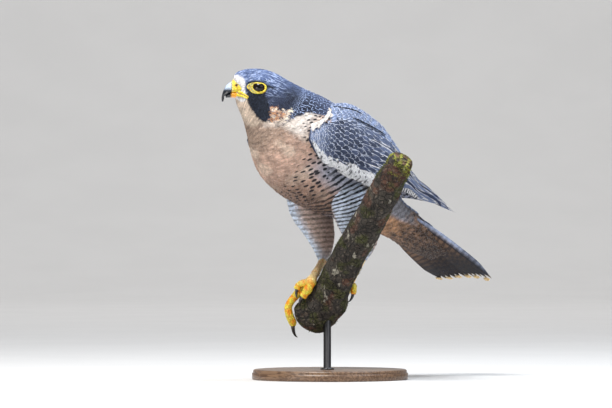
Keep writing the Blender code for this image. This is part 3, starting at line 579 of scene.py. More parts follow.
def ring_uvs(count, sides):
    """An unwrap of a tube's own shape: along it one way and round it the other."""
    along, round_it = np.meshgrid(np.linspace(0, 1, count), np.arange(sides) / sides, indexing="ij")
    return np.stack([round_it.ravel(), along.ravel()], -1)


def ringed_object(name, rings, material, attributes=None):
    """A closed tube from rings of points."""
    rings = np.asarray(rings, float)
    count, sides, _ = rings.shape
    faces = ring_faces(count, sides)
    uvs = {"OFBake": ring_uvs(count, sides)}
    return plain_object(name, rings.reshape(-1, 3), faces, material, attributes, uvs)


def tube_rings(path, radii, sides, side_hint=(1.0, 0.0, 0.0)):
    """Rings of a tube along path, with the angle of each point from the side hint."""
    path = np.asarray(path, float)
    tangents = unit(np.gradient(path, axis=0))
    hint = np.asarray(side_hint, float)
    wide = unit(hint - tangents * (tangents @ hint)[:, None])
    high = np.cross(tangents, wide)
    angles = np.arange(sides) * TURN / sides
    circle = wide[:, None] * np.cos(angles)[:, None] + high[:, None] * np.sin(angles)[:, None]
    return path[:, None] + circle * np.asarray(radii, float).reshape(len(path), -1, 1), circle, angles


def finish_piece(made, slot, *nodes):
    """Hides the solids that a piece stands for and fixes it to the body. Its slot, what it is made of, is
    not used.
    """
    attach(made, "root")
    if nodes:
        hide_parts(*nodes)
    return made


# Materials, built from nodes.


class Graph:
    """A short way to build a material's nodes."""

    def __init__(self, name, roughness=0.6, **sockets):
        self.material = bpy.data.materials.new(name)
        self.material.use_nodes = True
        self.nodes = self.material.node_tree.nodes
        self.links = self.material.node_tree.links
        self.shader = self.nodes["Principled BSDF"]
        self.shader.inputs["Roughness"].default_value = roughness
        for socket, value in sockets.items():
            self.shader.inputs[socket.replace("_", " ")].default_value = value

    def give(self, socket, value):
        if isinstance(value, bpy.types.NodeSocket):
            self.links.new(value, socket)
        elif isinstance(value, (tuple, list)) and len(value) == 3 and len(socket.default_value) == 4:
            socket.default_value = (*value, 1)
        else:
            socket.default_value = value

    def add(self, kind, output, settings=None, **inputs):
        """A node with its settings and inputs, by name or by number after an n. Returns one output."""
        node = self.nodes.new(kind)
        for key, value in (settings or {}).items():
            setattr(node, key, value)
        for key, value in inputs.items():
            place = int(key[1:]) if key[0] == "n" and key[1:].isdigit() else key.replace("_", " ")
            self.give(node.inputs[place], value)
        return node.outputs[output]

    def maths(self, operation, a, b=0.0, c=0.0):
        return self.add("ShaderNodeMath", 0, {"operation": operation}, n0=a, n1=b, n2=c)

    def ramp(self, value, low, high, start=0.0, end=1.0):
        """Rises smoothly from start at low to end at high."""
        settings = {"interpolation_type": "SMOOTHSTEP"}
        return self.add("ShaderNodeMapRange", 0, settings, n0=value, n1=low, n2=high, n3=start, n4=end)

    def mix(self, share, a, b, how="MIX"):
        settings = {"data_type": "RGBA", "blend_type": how}
        return self.add("ShaderNodeMix", 2, settings, n0=share, n6=a, n7=b)

    def times(self, a, b):
        return self.mix(1.0, a, b, "MULTIPLY")

    def noise(self, where, scale, detail=3.0, roughness=0.5):
        inputs = {"Vector": where, "Scale": scale, "Detail": detail, "Roughness": roughness}
        return self.add("ShaderNodeTexNoise", 0, None, **inputs)

    def cells(self, where, scale):
        """Distance to the nearest edge between cells."""
        settings = {"feature": "DISTANCE_TO_EDGE"}
        return self.add("ShaderNodeTexVoronoi", 0, settings, Vector=where, Scale=scale)

    def scaled(self, where, x, y, z):
        return self.add("ShaderNodeVectorMath", 0, {"operation": "MULTIPLY"}, n0=where, n1=(x, y, z))

    def split(self, vector):
        node = self.nodes.new("ShaderNodeSeparateXYZ")
        self.give(node.inputs[0], vector)
        return node.outputs

    def attribute(self, name):
        node = self.nodes.new("ShaderNodeAttribute")
        node.attribute_name = name
        return node.outputs

    def colour_of(self, name):
        return self.attribute(name)["Color"]

    def map(self, name):
        return self.add("ShaderNodeUVMap", 0, {"uv_map": name})

    def place(self):
        return self.add("ShaderNodeTexCoord", "Object")

    def bump(self, height, strength, distance):
        made = self.add("ShaderNodeBump", 0, None, Strength=strength, Distance=distance, Height=height)
        self.links.new(made, self.shader.inputs["Normal"])

    def colour(self, value):
        self.links.new(value, self.shader.inputs["Base Color"])
        return self.material


# Marks of the plumage: how far apart the bars and spots are, how the bars slope away from the back, the
# sizes of the fine pale streaks, where the pale edges start, and colours.
BAR_PERIOD = 7.6
BAR_SLOPE = 0.42
SPOT_PITCH = 6.0
SPOT_SIZE = 0.31
STREAK_WIDTH = 1.7
STREAK_LENGTH = 6.5
FRINGE_STRETCH = 2.2
FRINGE_RAMP = (0.77, 0.87)
ROOT_SHADE = (0.25, 0.24, 0.26)
MARK_COLOUR = (0.012, 0.014, 0.022)
STREAK_COLOUR = (0.46, 0.56, 0.82)


def fringed_base(g, across, along, lie, fringe, streaks):
    """A feather's colour: pale edge, dark shaft, painted shade at its root, grain and pale streaks."""
    grain = g.noise(lie, 26.0, 4.0, 0.65)
    wobble = g.maths("MULTIPLY_ADD", grain, 0.10, -0.05)
    from_tip = g.maths("MULTIPLY_ADD", along, FRINGE_STRETCH, 1.0 - FRINGE_STRETCH)
    rim = g.maths("ADD", g.maths("MAXIMUM", across, from_tip), wobble)
    edge = g.maths("MULTIPLY", g.ramp(rim, *FRINGE_RAMP), fringe["Alpha"])
    base = g.mix(edge, g.colour_of("tint"), fringe["Color"])
    shaft = g.maths("MULTIPLY", g.ramp(across, 0.0, 0.10, 0.55, 0.0), fringe["Alpha"])
    base = g.mix(shaft, base, MARK_COLOUR)
    # Painted shade at the root, where the feather before lies over it.
    base = g.mix(g.ramp(along, 0.0, 0.6, 0.45, 0.0), base, g.times(base, ROOT_SHADE))
    base = g.mix(0.5, base, g.times(base, g.ramp(grain, 0.25, 0.75, 0.3, 1.55)))
    lines = g.noise(g.scaled(lie, 100.0 / STREAK_WIDTH, 100.0 / STREAK_LENGTH, 1.0), 1.0, 2.0, 0.6)
    pale = g.maths("MULTIPLY", g.ramp(lines, 0.50, 0.62), streaks)
    return g.mix(pale, base, STREAK_COLOUR), grain


def marks_at(g, lie, marks):
    """Where the dark spots and the broken dark bars lie, by their strengths in the marks."""
    x, y, _ = g.split(lie)
    spot_strength, bar_strength, row_shift = marks
    sloped = g.maths("MULTIPLY_ADD", g.maths("ABSOLUTE", x), BAR_SLOPE, y)
    warp = g.noise(g.scaled(lie, 7.0, 7.0, 1.0), 1.0, 2.0)
    row = g.maths("MULTIPLY", sloped, 100.0 / BAR_PERIOD)
    row = g.maths("MULTIPLY_ADD", warp, 0.65, row)
    row = g.maths("MULTIPLY_ADD", row_shift, 0.14, row)
    wave = g.maths("SINE", g.maths("MULTIPLY", row, TURN))
    broken = g.noise(g.scaled(lie, 14.0, 9.0, 1.0), 1.0, 1.0)
    limit = g.maths("MULTIPLY_ADD", broken, 2.0, -0.82)
    bars = g.ramp(g.maths("SUBTRACT", wave, limit), -0.12, 0.18)
    turned = g.add("ShaderNodeCombineXYZ", 0, None, X=x, Y=sloped)
    where = g.scaled(turned, 98.0 / SPOT_PITCH, 100.0 / SPOT_PITCH, 1.0)
    flat = {"voronoi_dimensions": "2D"}
    spot = g.add("ShaderNodeTexVoronoi", 0, flat, Vector=where, Scale=1.0, Randomness=0.6)
    size = g.maths("MULTIPLY", spot_strength, SPOT_SIZE)
    spots = g.ramp(g.maths("SUBTRACT", size, spot), -0.03, 0.05)
    spots = g.maths("MULTIPLY", spots, g.ramp(spot_strength, 0.05, 0.3))
    return g.maths("MAXIMUM", spots, g.maths("MULTIPLY", bars, bar_strength))


def plumage_material(name, barbs=60.0):
    """Feathers: tint and fringe come with each one, and its spots, bars and streaks from where it lies."""
    g = Graph(name, roughness=0.72, Specular_IOR_Level=0.22)
    side, along, _ = g.split(g.map("vane"))
    across = g.maths("ABSOLUTE", g.maths("MULTIPLY_ADD", side, 2.0, -1.0))
    lie = g.map("lie")
    fringe = g.attribute("fringe")
    held = g.attribute("marks")
    marks = g.split(held["Color"])
    base, grain = fringed_base(g, across, along, lie, fringe, held["Alpha"])
    mark = marks_at(g, lie, marks)
    slant = g.maths("MULTIPLY", across, barbs * -0.45)
    barb = g.maths("SINE", g.maths("MULTIPLY_ADD", along, barbs, slant))
    g.bump(g.maths("MULTIPLY_ADD", grain, 0.8, g.maths("MULTIPLY", barb, 0.35)), 0.4, 0.0006)
    return g.colour(g.mix(g.maths("MULTIPLY", mark, 0.95), base, MARK_COLOUR))


def tinted_material(name, roughness, scale, depth, bump, distance, **sockets):
    """A surface whose main colour comes with its points, broken up and roughened by noise."""
    g = Graph(name, roughness=roughness, **sockets)
    grain = g.noise(g.place(), scale, 5.0, 0.6)
    tint = g.colour_of("tint")
    g.bump(grain, bump, distance)
    return g.colour(g.mix(depth, tint, g.times(tint, g.ramp(grain, 0.25, 0.75, 0.3, 1.5))))


def scaly_material(name):
    """Bare yellow skin with small raised scales, and painted shade in the creases between them."""
    g = Graph(name, roughness=0.42, Subsurface_Weight=0.12, Subsurface_Scale=0.002)
    where = g.place()
    tint = g.colour_of("tint")
    crease_shade = g.ramp(g.cells(where, 400.0), 0.0, 0.16)
    grain = g.noise(where, 420.0, 3.0)
    # Orange-brown painted shade in the creases between the scales.
    dark = g.times(tint, (0.72, 0.42, 0.20))
    g.bump(crease_shade, 0.5, 0.0004)
    return g.colour(g.mix(g.maths("MULTIPLY", crease_shade, g.ramp(grain, 0.2, 0.6, 0.7, 1.0)), dark, tint))


def bark_material(name):
    """Rough bark, with dark plates, pale dust, cracks blackened as painted shade and flecks of lichen."""
    g = Graph(name, roughness=0.88)
    where = g.place()
    tint = g.colour_of("tint")
    coarse = g.noise(where, 55.0, 6.0, 0.65)
    fine = g.noise(where, 300.0, 5.0, 0.7)
    cracks = g.cells(where, 150.0)
    colour = g.mix(g.ramp(coarse, 0.42, 0.62), tint, g.times(tint, (0.42, 0.38, 0.36)))
    colour = g.mix(g.ramp(fine, 0.55, 0.68, 0.0, 0.85), colour, (0.155, 0.125, 0.085))
    # Painted shade blackens the cracks.
    colour = g.mix(g.ramp(cracks, 0.0, 0.07, 0.75, 0.0), colour, (0.008, 0.007, 0.006))
    flecks = g.noise(g.scaled(where, 90.0, 90.0, 45.0), 1.0, 3.0, 0.6)
    colour = g.mix(g.ramp(flecks, 0.65, 0.69, 0.0, 0.8), colour, (0.40, 0.37, 0.30))
    plates = g.maths("MULTIPLY_ADD", fine, 0.6, g.ramp(cracks, 0, 0.1))
    g.bump(g.maths("ADD", coarse, plates), 1.0, 0.002)
    return g.colour(colour)


def wood_material(name):
    g = Graph(name, roughness=0.42, Coat_Weight=0.25, Coat_Roughness=0.25)
    where = g.scaled(g.place(), 1.0, 9.0, 9.0)
    rings = g.noise(where, 9.0, 6.0, 0.55)
    bands = g.maths("SINE", g.maths("MULTIPLY", rings, 60.0))
    pores = g.noise(g.scaled(g.place(), 30.0, 600.0, 600.0), 1.0, 2.0)
    colour = g.mix(g.ramp(bands, -0.9, 0.9), (0.115, 0.062, 0.034), (0.235, 0.140, 0.080))
    colour = g.mix(g.ramp(pores, 0.55, 0.75, 0.0, 0.45), colour, (0.05, 0.028, 0.016))
    g.bump(pores, 0.25, 0.0003)
    return g.colour(colour)


def metal_material(name):
    g = Graph(name, roughness=0.36, Metallic=1.0)
    brushed = g.noise(g.scaled(g.place(), 900.0, 900.0, 25.0), 1.0, 2.0)
    g.bump(brushed, 0.12, 0.0002)
    return g.colour(g.mix(g.ramp(brushed, 0.3, 0.7), (0.085, 0.085, 0.09), (0.15, 0.15, 0.155)))


def stage_material(name, colour):
    g = Graph(name, roughness=0.9)
    grain = g.noise(g.place(), 6.0, 3.0)
    return g.colour(g.mix(g.ramp(grain, 0.3, 0.7, 0.0, 0.35), colour, tuple(0.93 * c for c in colour)))


# Feathers laid on a surface: the smallest step of its grid, how round a feather's tip is, how far the
# patterns of two feathers lie apart, the gap between the two faces of a closed vane at its edge, and the
# margin, span and patch size of the unwrap.
SMALLEST_STEP = 0.02
TIP_ROUNDING = 0.14
SEED_STEP = 3.1
EDGE_GAP = 0.02
BAKE_MARGIN = 0.004
BAKE_SPAN = 0.99
BAKE_PATCH = 0.003


class Surface:
    """A grid of points with its normals. Rows run along the lie of the feathers and columns across it."""

    def __init__(self, points, wrap, outward):
        self.points = points
        self.wrap = wrap
        self.rows, self.columns = points.shape[:2]
        along = np.gradient(points, axis=0)
        if wrap:
            across = (np.roll(points, -1, 1) - np.roll(points, 1, 1)) / 2
        else:
            across = np.gradient(points, axis=1)
        normals = unit(np.cross(along, across))
        facing = np.einsum("ijk,ijk->ij", normals, outward)[..., None]
        self.normals = np.where(facing < 0, -normals, normals)
        self.along = np.maximum(np.linalg.norm(along, axis=-1, keepdims=True), SMALLEST_STEP)
        self.across = np.maximum(np.linalg.norm(across, axis=-1, keepdims=True), SMALLEST_STEP)
        self.run = np.concatenate([np.zeros((1, 1)), np.cumsum(self.along[:-1].mean(1), 0)])[:, 0]

    def sample(self, grid, i, j):
        """The grid's value at places between its rows and columns."""
        i = np.clip(i, 0, self.rows - 1.001)
        j = j % self.columns if self.wrap else np.clip(j, 0, self.columns - 1.001)
        i0, j0 = i.astype(int), j.astype(int)
        fi, fj = (i - i0)[..., None], (j - j0)[..., None]
        j1 = (j0 + 1) % self.columns
        low = grid[i0, j0] * (1 - fj) + grid[i0, j1] * fj
        high = grid[i0 + 1, j0] * (1 - fj) + grid[i0 + 1, j1] * fj
        return low * (1 - fi) + high * fi

    def steps(self, i, j):
        """Millimetres from row to row and from column to column."""
        return self.sample(self.along, i, j)[..., 0], self.sample(self.across, i, j)[..., 0]

    def place(self, i, j):
        """Points of the surface, which runs on straight past its last row."""
        edge = self.points[-1] - self.points[-2]
        column = j % self.columns if self.wrap else np.clip(j, 0, self.columns - 1)
        beyond = np.maximum(i - (self.rows - 1.001), 0)[..., None]
        way = edge[np.minimum(column.astype(int), self.columns - 1)]
        return self.sample(self.points, i, j) + beyond * way

    def lie(self, i, j, scale):
        """Where points lie for the pattern of the plumage, in tenths of a metre across and along."""
        centred = (j - self.columns / 2) * self.steps(i, j)[1]
        run = np.interp(i, np.arange(self.rows), self.run)
        return np.stack([centred * scale[0], run * scale[1]], -1) / 100


class Template:
    """The points and faces of one feather: shares along it, shares across it, and how the tip is ragged."""

    def __init__(self, rows, columns, ragged=0.0):
        shares, widths = zip(*rows)
        self.nominal = np.repeat(shares, columns)
        self.column = np.tile(np.linspace(-1, 1, columns), len(rows))
        self.across = self.column * np.repeat(widths, columns)
        tip = np.repeat(np.arange(len(rows)) == len(rows) - 1, columns)
        teeth = ragged * np.where(np.tile(np.arange(columns), len(rows)) % 2 == 1, -1.0, 1.0)
        rounding = TIP_ROUNDING * self.column**2
        self.along = self.nominal - rounding * self.nominal**3 + tip * teeth
        self.quads = np.array(grid_faces(len(rows), columns, close_columns=False))


BODY_FEATHER = Template([(0, 0.5), (0.3, 0.85), (0.58, 1.0), (0.8, 0.95), (1.0, 0.62)], 5, ragged=0.045)
SMALL_FEATHER = Template([(0, 0.5), (0.4, 0.95), (0.75, 0.95), (1.0, 0.5)], 3, ragged=0.05)
COVERT = Template(
    [(0, 0.5), (0.25, 0.85), (0.5, 1.0), (0.7, 1.0), (0.85, 0.88), (0.95, 0.62), (1.0, 0.3)], 7
)
FLIGHT = Template(
    [(0, 0.6), (0.15, 0.85), (0.3, 1.0), (0.45, 1.0), (0.6, 0.98), (0.74, 0.92), (0.88, 0.82),
     (0.96, 0.60), (1.0, 0.28)], 7
)
TAIL_FEATHER = Template(
    [(0, 0.5), (0.1, 0.7), (0.25, 0.9), (0.4, 1.0), (0.55, 1.0), (0.7, 1.0), (0.8, 1.0), (0.88, 0.98),
     (0.93, 0.92), (0.955, 0.84), (0.975, 0.68), (0.99, 0.46), (1.0, 0.16)], 7
)


def at_points(value, count, size, width):
    """Values for each point of each feather, from one value, one for each feather or one for each point."""
    value = np.asarray(value, float)
    if value.shape[-1] < width:
        value = np.concatenate([value, np.zeros((*value.shape[:-1], width - value.shape[-1]))], -1)
    if value.ndim == 2:
        value = value[:, None]
    return np.broadcast_to(value, (count, size, width))


class Coat:
    """Gathers feathers, then makes them into one mesh piece."""

    def __init__(self):
        self.parts = []

    def lay(self, surface, template, i, j, length, width, root_lift, tip_lift, tint, fringe, marks, **extra):
        """Lays one feather at each grid place (i, j). Lengths and lifts are in millimetres.

        extra may hold turn in radians, tilt and cup in millimetres, thickness for closed vanes with their
        under_tint, under_fringe and under_marks, lie_of for the pattern's place at each point or local_lie
        and seed for a pattern of each feather's own, lie_scale, and paint, which gives the tint, fringe and
        marks at each point from its place.
        """
        count, size = len(i), len(template.along)

        def full(value):
            return np.broadcast_to(np.asarray(value, float), (count,))[:, None]

        turn, tilt, cup = (full(extra.get(key, 0.0)) for key in ("turn", "tilt", "cup"))
        i, j, length, width = full(i), full(j), full(length), full(width)
        ahead = template.along * length
        beside = template.across * width / 2
        step_i, step_j = surface.steps(i, j)
        at_i = i + (ahead * np.cos(turn) - beside * np.sin(turn)) / step_i
        at_j = j + (ahead * np.sin(turn) + beside * np.cos(turn)) / step_j
        points = surface.place(at_i, at_j)
        normals = unit(surface.sample(surface.normals, at_i, at_j))
        rise = full(root_lift) + (full(tip_lift) - full(root_lift)) * template.along
        rise = rise + tilt * template.column - cup * template.column**2 * template.along
        if "paint" in extra:
            tint, fringe, marks = extra["paint"](at_i, at_j, points)
        scale = extra.get("lie_scale", (1.0, 1.0))
        if "lie_of" in extra:
            lie = extra["lie_of"](points)
        elif extra.get("local_lie"):
            lie = np.stack([beside * scale[0], ahead * scale[1]], -1) / 100
            lie = lie + full(extra["seed"])[..., None] * SEED_STEP
        else:
            lie = surface.lie(at_i, at_j, scale)
        vane = np.stack([template.column / 2 + 0.5, template.nominal], -1)
        vane = np.broadcast_to(vane, (count, *vane.shape))
        root = np.stack([j % surface.columns / surface.columns, np.clip(i / surface.rows, 0, 1)], -1)
        bake = BAKE_MARGIN + BAKE_SPAN * root + vane * BAKE_PATCH
        held = [at_points(v, count, size, n) for v, n in ((tint, 3), (fringe, 4), (marks, 4))]
        self.parts.append((template, [points + normals * rise[..., None], *held, lie, vane, bake], False))
        if "thickness" in extra:
            flat = np.clip(1 - template.column**4, 0, 1) * np.clip((1 - template.nominal) * 6, 0, 1)
            lower = points + normals * (rise - extra["thickness"] * flat - EDGE_GAP)[..., None]
            if "under_tint" in extra:
                under = (("under_tint", 3), ("under_fringe", 4), ("under_marks", 4))
                held = [at_points(extra[key], count, size, n) for key, n in under]
            self.parts.append((template, [lower, *held, lie, vane, bake], True))

    def build(self, name, material):
        """One mesh piece of all the feathers laid so far."""
        columns = [[] for _ in range(7)]
        quads = []
        start = 0
        for template, sheet, turned in self.parts:
            count, size = sheet[0].shape[:2]
            faces = template.quads[:, ::-1] if turned else template.quads
            quads.append((faces[None] + start + np.arange(count)[:, None, None] * size).reshape(-1, 4))
            for held, values in zip(columns, sheet):
                held.append(values.reshape(count * size, -1))
            start += count * size
        points, tint, fringe, marks, lie, vane, bake = (np.vstack(held) for held in columns)
        attributes = {"tint": tint, "fringe": fringe, "marks": marks}
        uvs = {"OFBake": bake, "vane": vane, "lie": lie}
        return quad_object(name, points, np.vstack(quads), material, attributes, uvs)


# The body's skin and coat.

GRID_ALONG = 16
GRID_ROUND = 240


def coat_depth(t):
    return between(COAT_DEPTHS, t)


def body_surface():
    """The form that the body's feathers are laid on, under the solids by the coat's depth."""
    t = np.linspace(0, SKIN_END, int(SKIN_END * GRID_ALONG) + 1)
    angle = np.arange(GRID_ROUND) * TURN / GRID_ROUND - math.pi / 2
    tt, aa = np.meshgrid(t, angle, indexing="ij")
    points = skin_point(tt.ravel(), aa.ravel(), -coat_depth(tt.ravel())).reshape(*tt.shape, 3)
    return Surface(points, True, points - points.mean(1, keepdims=True))


def from_top(j):
    """Degrees from the top of the back, 0 to 180, of a column of the body's surface."""
    return 180 - np.abs((np.asarray(j) / GRID_ROUND * 360 + 180) % 360 - 180)


def under_tail_colour(t, points):
    """The tail from below: buff to dark, with bars across each vane and a dark line down its middle."""
    vane = points[..., 0] / TAIL_VANE
    offset = 2.6 * np.floor(vane) + 1.5 * ripple(points, 11.0, 14)
    bar = smooth(0.0, 0.6, np.sin((points - TAIL_ROOT) @ TAIL_WAY * TURN / TAIL_BAR + offset))
    line = smooth(0.22, 0.08, np.abs(vane % 1 - 0.5))
    return painted(
        TAIL_BUFF,
        (TAIL_END, smooth(15.0, 17.0, t) * 0.75),
        (TAIL_END, np.maximum(bar * 0.8, line * 0.7)),
    )


def underside_colour(t, phi, points, in_tail):
    """Throat, breast, flanks, belly, vent and the underside of the tail."""
    neck_side = (0.35 + 0.5 * smooth(6.9, 7.6, t)) * smooth(112, 99, phi)
    return painted(
        THROAT,
        (BREAST, smooth(6.8, 8.4, t)),
        (CREAM, smooth(5.4, 3.4, t) * 0.6),
        (CREAM, smooth(0.3, 1.2, ripple(points, 22.0, 6)) * 0.45),
        (blend(CREAM, WHITE, 0.55), neck_side * smooth(6.0, 6.8, t) * smooth(8.8, 7.8, t)),
        (FLANK, smooth(140, 116, phi) * smooth(8.8, 10.2, t)),
        # The lower breast and belly darken here as painted shade.
        (BELLY_SHADE, smooth(7.6, 10.4, t) * smooth(118, 162, phi)),
        (FLANK, smooth(11.4, 12.2, t) * 0.5),
        (VENT_BUFF_AND_LEG_SHADE, smooth(12.4, 13.2, t) * smooth(100, 122, phi)),
        (UNDERTAIL, smooth(12.4, 13.4, t) * smooth(120, 98, phi)),
        (under_tail_colour(t, points), in_tail),
    )


def upperside_colour(t, phi, moustache_and_brow_shadow):
    """Crown, cheek, nape, back and rump, the black moustache, and the painted shadow under the brow."""
    return painted(
        CROWN,
        (CHEEK, smooth(58, 82, phi) * smooth(2.2, 3.4, t)),
        (NAPE, smooth(4.6, 6.6, t) * (0.4 + 0.6 * smooth(20, 60, phi))),
        (SLATE, smooth(7.6, 8.8, t)),
        (SLATE_PALE, smooth(12.6, 14.5, t) * 0.25),
        (SLATE_DARK, moustache_and_brow_shadow),
    )


def ear_colour(points, jitter):
    """The rufous ear patch, with cream and slate specks."""
    speck = smooth(0.0, 0.6, ripple(points * np.array([1.0, 1.0, 1.7]), 2.2, 8))
    cream = smooth(-0.2, 1.6, jitter + ripple(points, 6.0, 9))
    return painted(RUFOUS, (CREAM, cream), (SLATE, speck * 0.8))


def mark_strengths(t, phi, in_tail, dark, ear):
    """How strong the spots and the bars are."""
    pale = 1 - np.maximum(dark, ear)
    from_bars = t - between(BARS_START, phi)
    bars = pale * smooth(-0.35, 0.45, from_bars)
    bars = bars * (1 - 0.65 * smooth(12.3, 13.2, t) * smooth(15.2, 14.2, t))
    bars = bars * (0.90 + 0.10 * smooth(160, 120, phi))
    bars = np.maximum(bars * (1 - in_tail), dark * smooth(11.5, 13, t) * 0.4)
    spots = pale * smooth(-0.15, 0.35, t - between(SPOTS_START, phi)) * smooth(0.4, -0.3, from_bars)
    spots = spots * (0.80 + 0.20 * smooth(160, 112, phi)) * (0.85 + 0.35 * smooth(-1.2, 0.0, from_bars))
    return spots, bars


def body_colour(t, phi, points, jitter):
    """Colour of the plumage at a station and an angle from the top, with the strengths of its marks."""
    phi = phi + jitter * 1.4
    t = t + jitter * 0.025
    outside = phi - between(DARK_EDGE, t)
    to_tail = t + 0.35 * smooth(100, 130, phi) + 0.25 * ripple(points, 9.0, 10)
    in_tail = smooth(14.1, 15.3, to_tail)
    # The line over the eye is painted shadow under the brow. It joins the black moustache.
    brow_shadow = smooth(4.6, 2.0, np.abs(phi - between(BROW_SHADOW_LINE, t))) * smooth(2.6, 2.9, t) * smooth(5.6, 5.1, t)
    moustache_and_brow_shadow = np.maximum(inside(MOUSTACHE, t, phi), brow_shadow)
    dark = smooth(2.0, -2.0, outside)
    colour = blend(underside_colour(t, phi, points, in_tail), upperside_colour(t, phi, moustache_and_brow_shadow), dark)
    beside_ear = smooth(11, 2, np.abs(outside - 6)) * (smooth(6.0, 6.3, t) * smooth(7.5, 7.2, t))
    colour = blend(colour, blend(CREAM, WHITE, 0.5), beside_ear * 0.4)
    t_rough = t + 0.07 * ripple(points, 2.6, 12)
    ear = inside(EAR_PATCH, t_rough, phi + 2.2 * ripple(points, 3.2, 13))
    colour = np.where(ear[..., None], ear_colour(points, jitter), colour)
    hook = inside(EAR_HOOK, t_rough, phi)
    colour = np.where(hook[..., None], CREAM, colour)
    # Painted shadow in the crease under the ear.
    crease_shade = smooth(0.045, 0.02, np.abs(t - between(SHADOW_CREASE, phi))) * smooth(90, 93, phi)
    colour = blend(colour, SLATE_DARK, crease_shade * smooth(112, 108, phi) * 0.85)
    forehead = smooth(0.14, -0.14, t - between(FOREHEAD_END, phi))
    colour = blend(colour, FOREHEAD, forehead)
    dark = dark * ~ear * ~hook * (1 - forehead)
    spots, bars = mark_strengths(t, phi, in_tail, dark, ear)
    streak = 0.85 - 0.40 * smooth(58, 80, phi) * smooth(2.2, 3.4, t) - 0.75 * smooth(5.3, 6.4, t)
    streak = np.clip(streak * dark * (1 - moustache_and_brow_shadow), 0, 1) * smooth(9.5, 8.0, t)
    return colour, spots, bars, dark, streak


def lay_rows(surface, start, end, pitch, spacing, chance, keep):
    """Places for rows of feathers with equal gaps along and round a surface, staggered row by row."""
    run, columns = surface.run, surface.columns
    places_i, places_j, pitches = [], [], []
    for number, stop in enumerate(np.arange(run[0] + start, min(run[-1], end), pitch)):
        i = np.interp(stop, run, np.arange(len(run)))
        row = surface.steps(np.full(columns, i), np.arange(columns, dtype=float))[1]
        reach = np.concatenate([[0], np.cumsum(row)])
        count = max(3, round(reach[-1] / spacing))
        at = (np.arange(count) + 0.5 * (number % 2) + chance.uniform(-0.22, 0.22, count)) * reach[-1] / count
        j = np.interp(at % reach[-1], reach, np.arange(columns + 1))
        local = surface.steps(np.full(count, i), j)[0]
        mean = surface.along[min(int(i), surface.rows - 1)].mean()
        stretch = np.clip(local / mean, 0.35, 2.2)
        places_i.append(i + chance.uniform(-0.25, 0.25, count) * pitch / local * stretch)
        places_j.append(j)
        pitches.append(pitch * stretch)
    i, j, pitches = (np.concatenate(held) for held in (places_i, places_j, pitches))
    kept = keep(i, j)
    return i[kept], j[kept], pitches[kept]


def head_bare(points, grow=1.0):
    """True where the head is bare: the eye rings, grown by a share, and the cere and bill."""
    reach, height, lateral = head_place(points)
    ring = [(x * grow, y * grow) for x, y in LID_OUTER]
    eye = inside(ring, reach - EYE_REACH, height - EYE_HEIGHT) & (np.abs(lateral) > 8)
    bill = (reach > between(CERE_EDGE, height)) & (height > 336.0) & (height < 352.5)
    return eye | bill


# Layers of the body's coat: name, first and last station, gap between rows and within them, width and length
# as shares of the gaps, and template.
BODY_LAYERS = [
    ("coat_head", 0.2, 6.9, 1.65, 1.65, 1.75, 3.1, SMALL_FEATHER),
    ("coat_neck", 6.3, 9.0, 2.7, 2.7, 1.7, 3.0, BODY_FEATHER),
    ("coat_nape", 6.7, 9.2, 4.6, 5.4, 1.5, 2.5, COVERT),
    ("coat_body", 8.5, 17.0, 3.5, 3.4, 1.65, 2.9, BODY_FEATHER),
]


def body_layer(surface, plumage, chance, name, first, last, pitch, spacing, wide, long, template):
    """One layer of the body's feathers, coloured point by point from where each point lies."""
    run = surface.run
    start, end = np.interp([first * GRID_ALONG, last * GRID_ALONG], np.arange(len(run)), run)

    def keep(i, j):
        """True off the bare skin and what the wings and tail hide. The nape has a layer of its own."""
        t, phi = i / GRID_ALONG, from_top(j)
        ahead = i + 0.75 * pitch * long / surface.steps(i, j)[0]
        bare = head_bare(surface.sample(surface.points, i, j))
        bare |= head_bare(surface.sample(surface.points, ahead, j), 0.86)
        bare &= t < HEAD_END + 0.5
        hidden = (phi > 48) & (phi < 84) & (t > 9.2) & (t < 12.8) | (phi < 100) & (t > 14.6)
        on_nape = (phi < between(DARK_EDGE, t) - 2) & (t > 6.7)
        if name == "coat_nape":
            hidden |= ~on_nape
        elif name == "coat_neck":
            hidden |= on_nape & (t > 6.9)
        return ~bare & ~hidden

    i, j, pitches = lay_rows(surface, start, end, pitch, spacing, chance, keep)
    count = len(i)
    jitter = chance.normal(0, 0.5, count)[:, None]
    shade = 1 + 0.10 * chance.normal(0, 1, count)[:, None]
    chances = chance.uniform(0, 1, count)[:, None]
    dark_rim = 0.72 if name == "coat_nape" else 0.82

    def paint(at_i, at_j, points):
        t = at_i / GRID_ALONG
        colour, spots, bars, dark, streak = body_colour(t, from_top(at_j), points, jitter)
        colour = colour * (shade + 0.10 * ripple(points, 14.0, 5))[..., None]
        rim = blend(np.broadcast_to(FOREHEAD, colour.shape), SLATE_PALE, dark)
        strength = dark * (0.08 + dark_rim * smooth(6.7, 7.4, t)) + (1 - dark) * 0.12
        marks = np.stack([spots, bars, np.broadcast_to(chances, spots.shape), streak], -1)
        return np.clip(colour, 0.004, 0.95), np.concatenate([rim, strength[..., None]], -1), marks

    coat = Coat()
    tip_lift = coat_depth(i / GRID_ALONG) * chance.uniform(0.7, 1.1, count)
    coat.lay(
        surface, template, i, j, pitches * long, spacing * wide, 0.05, tip_lift, None, None, None,
        turn=chance.normal(0, 0.10, count), tilt=chance.uniform(-0.25, 0.25, count), cup=0.25, paint=paint,
    )
    return coat.build(name, plumage)


def body_feathers(surface, plumage):
    chance = np.random.default_rng(11)
    return [body_layer(surface, plumage, chance, *layer) for layer in BODY_LAYERS]


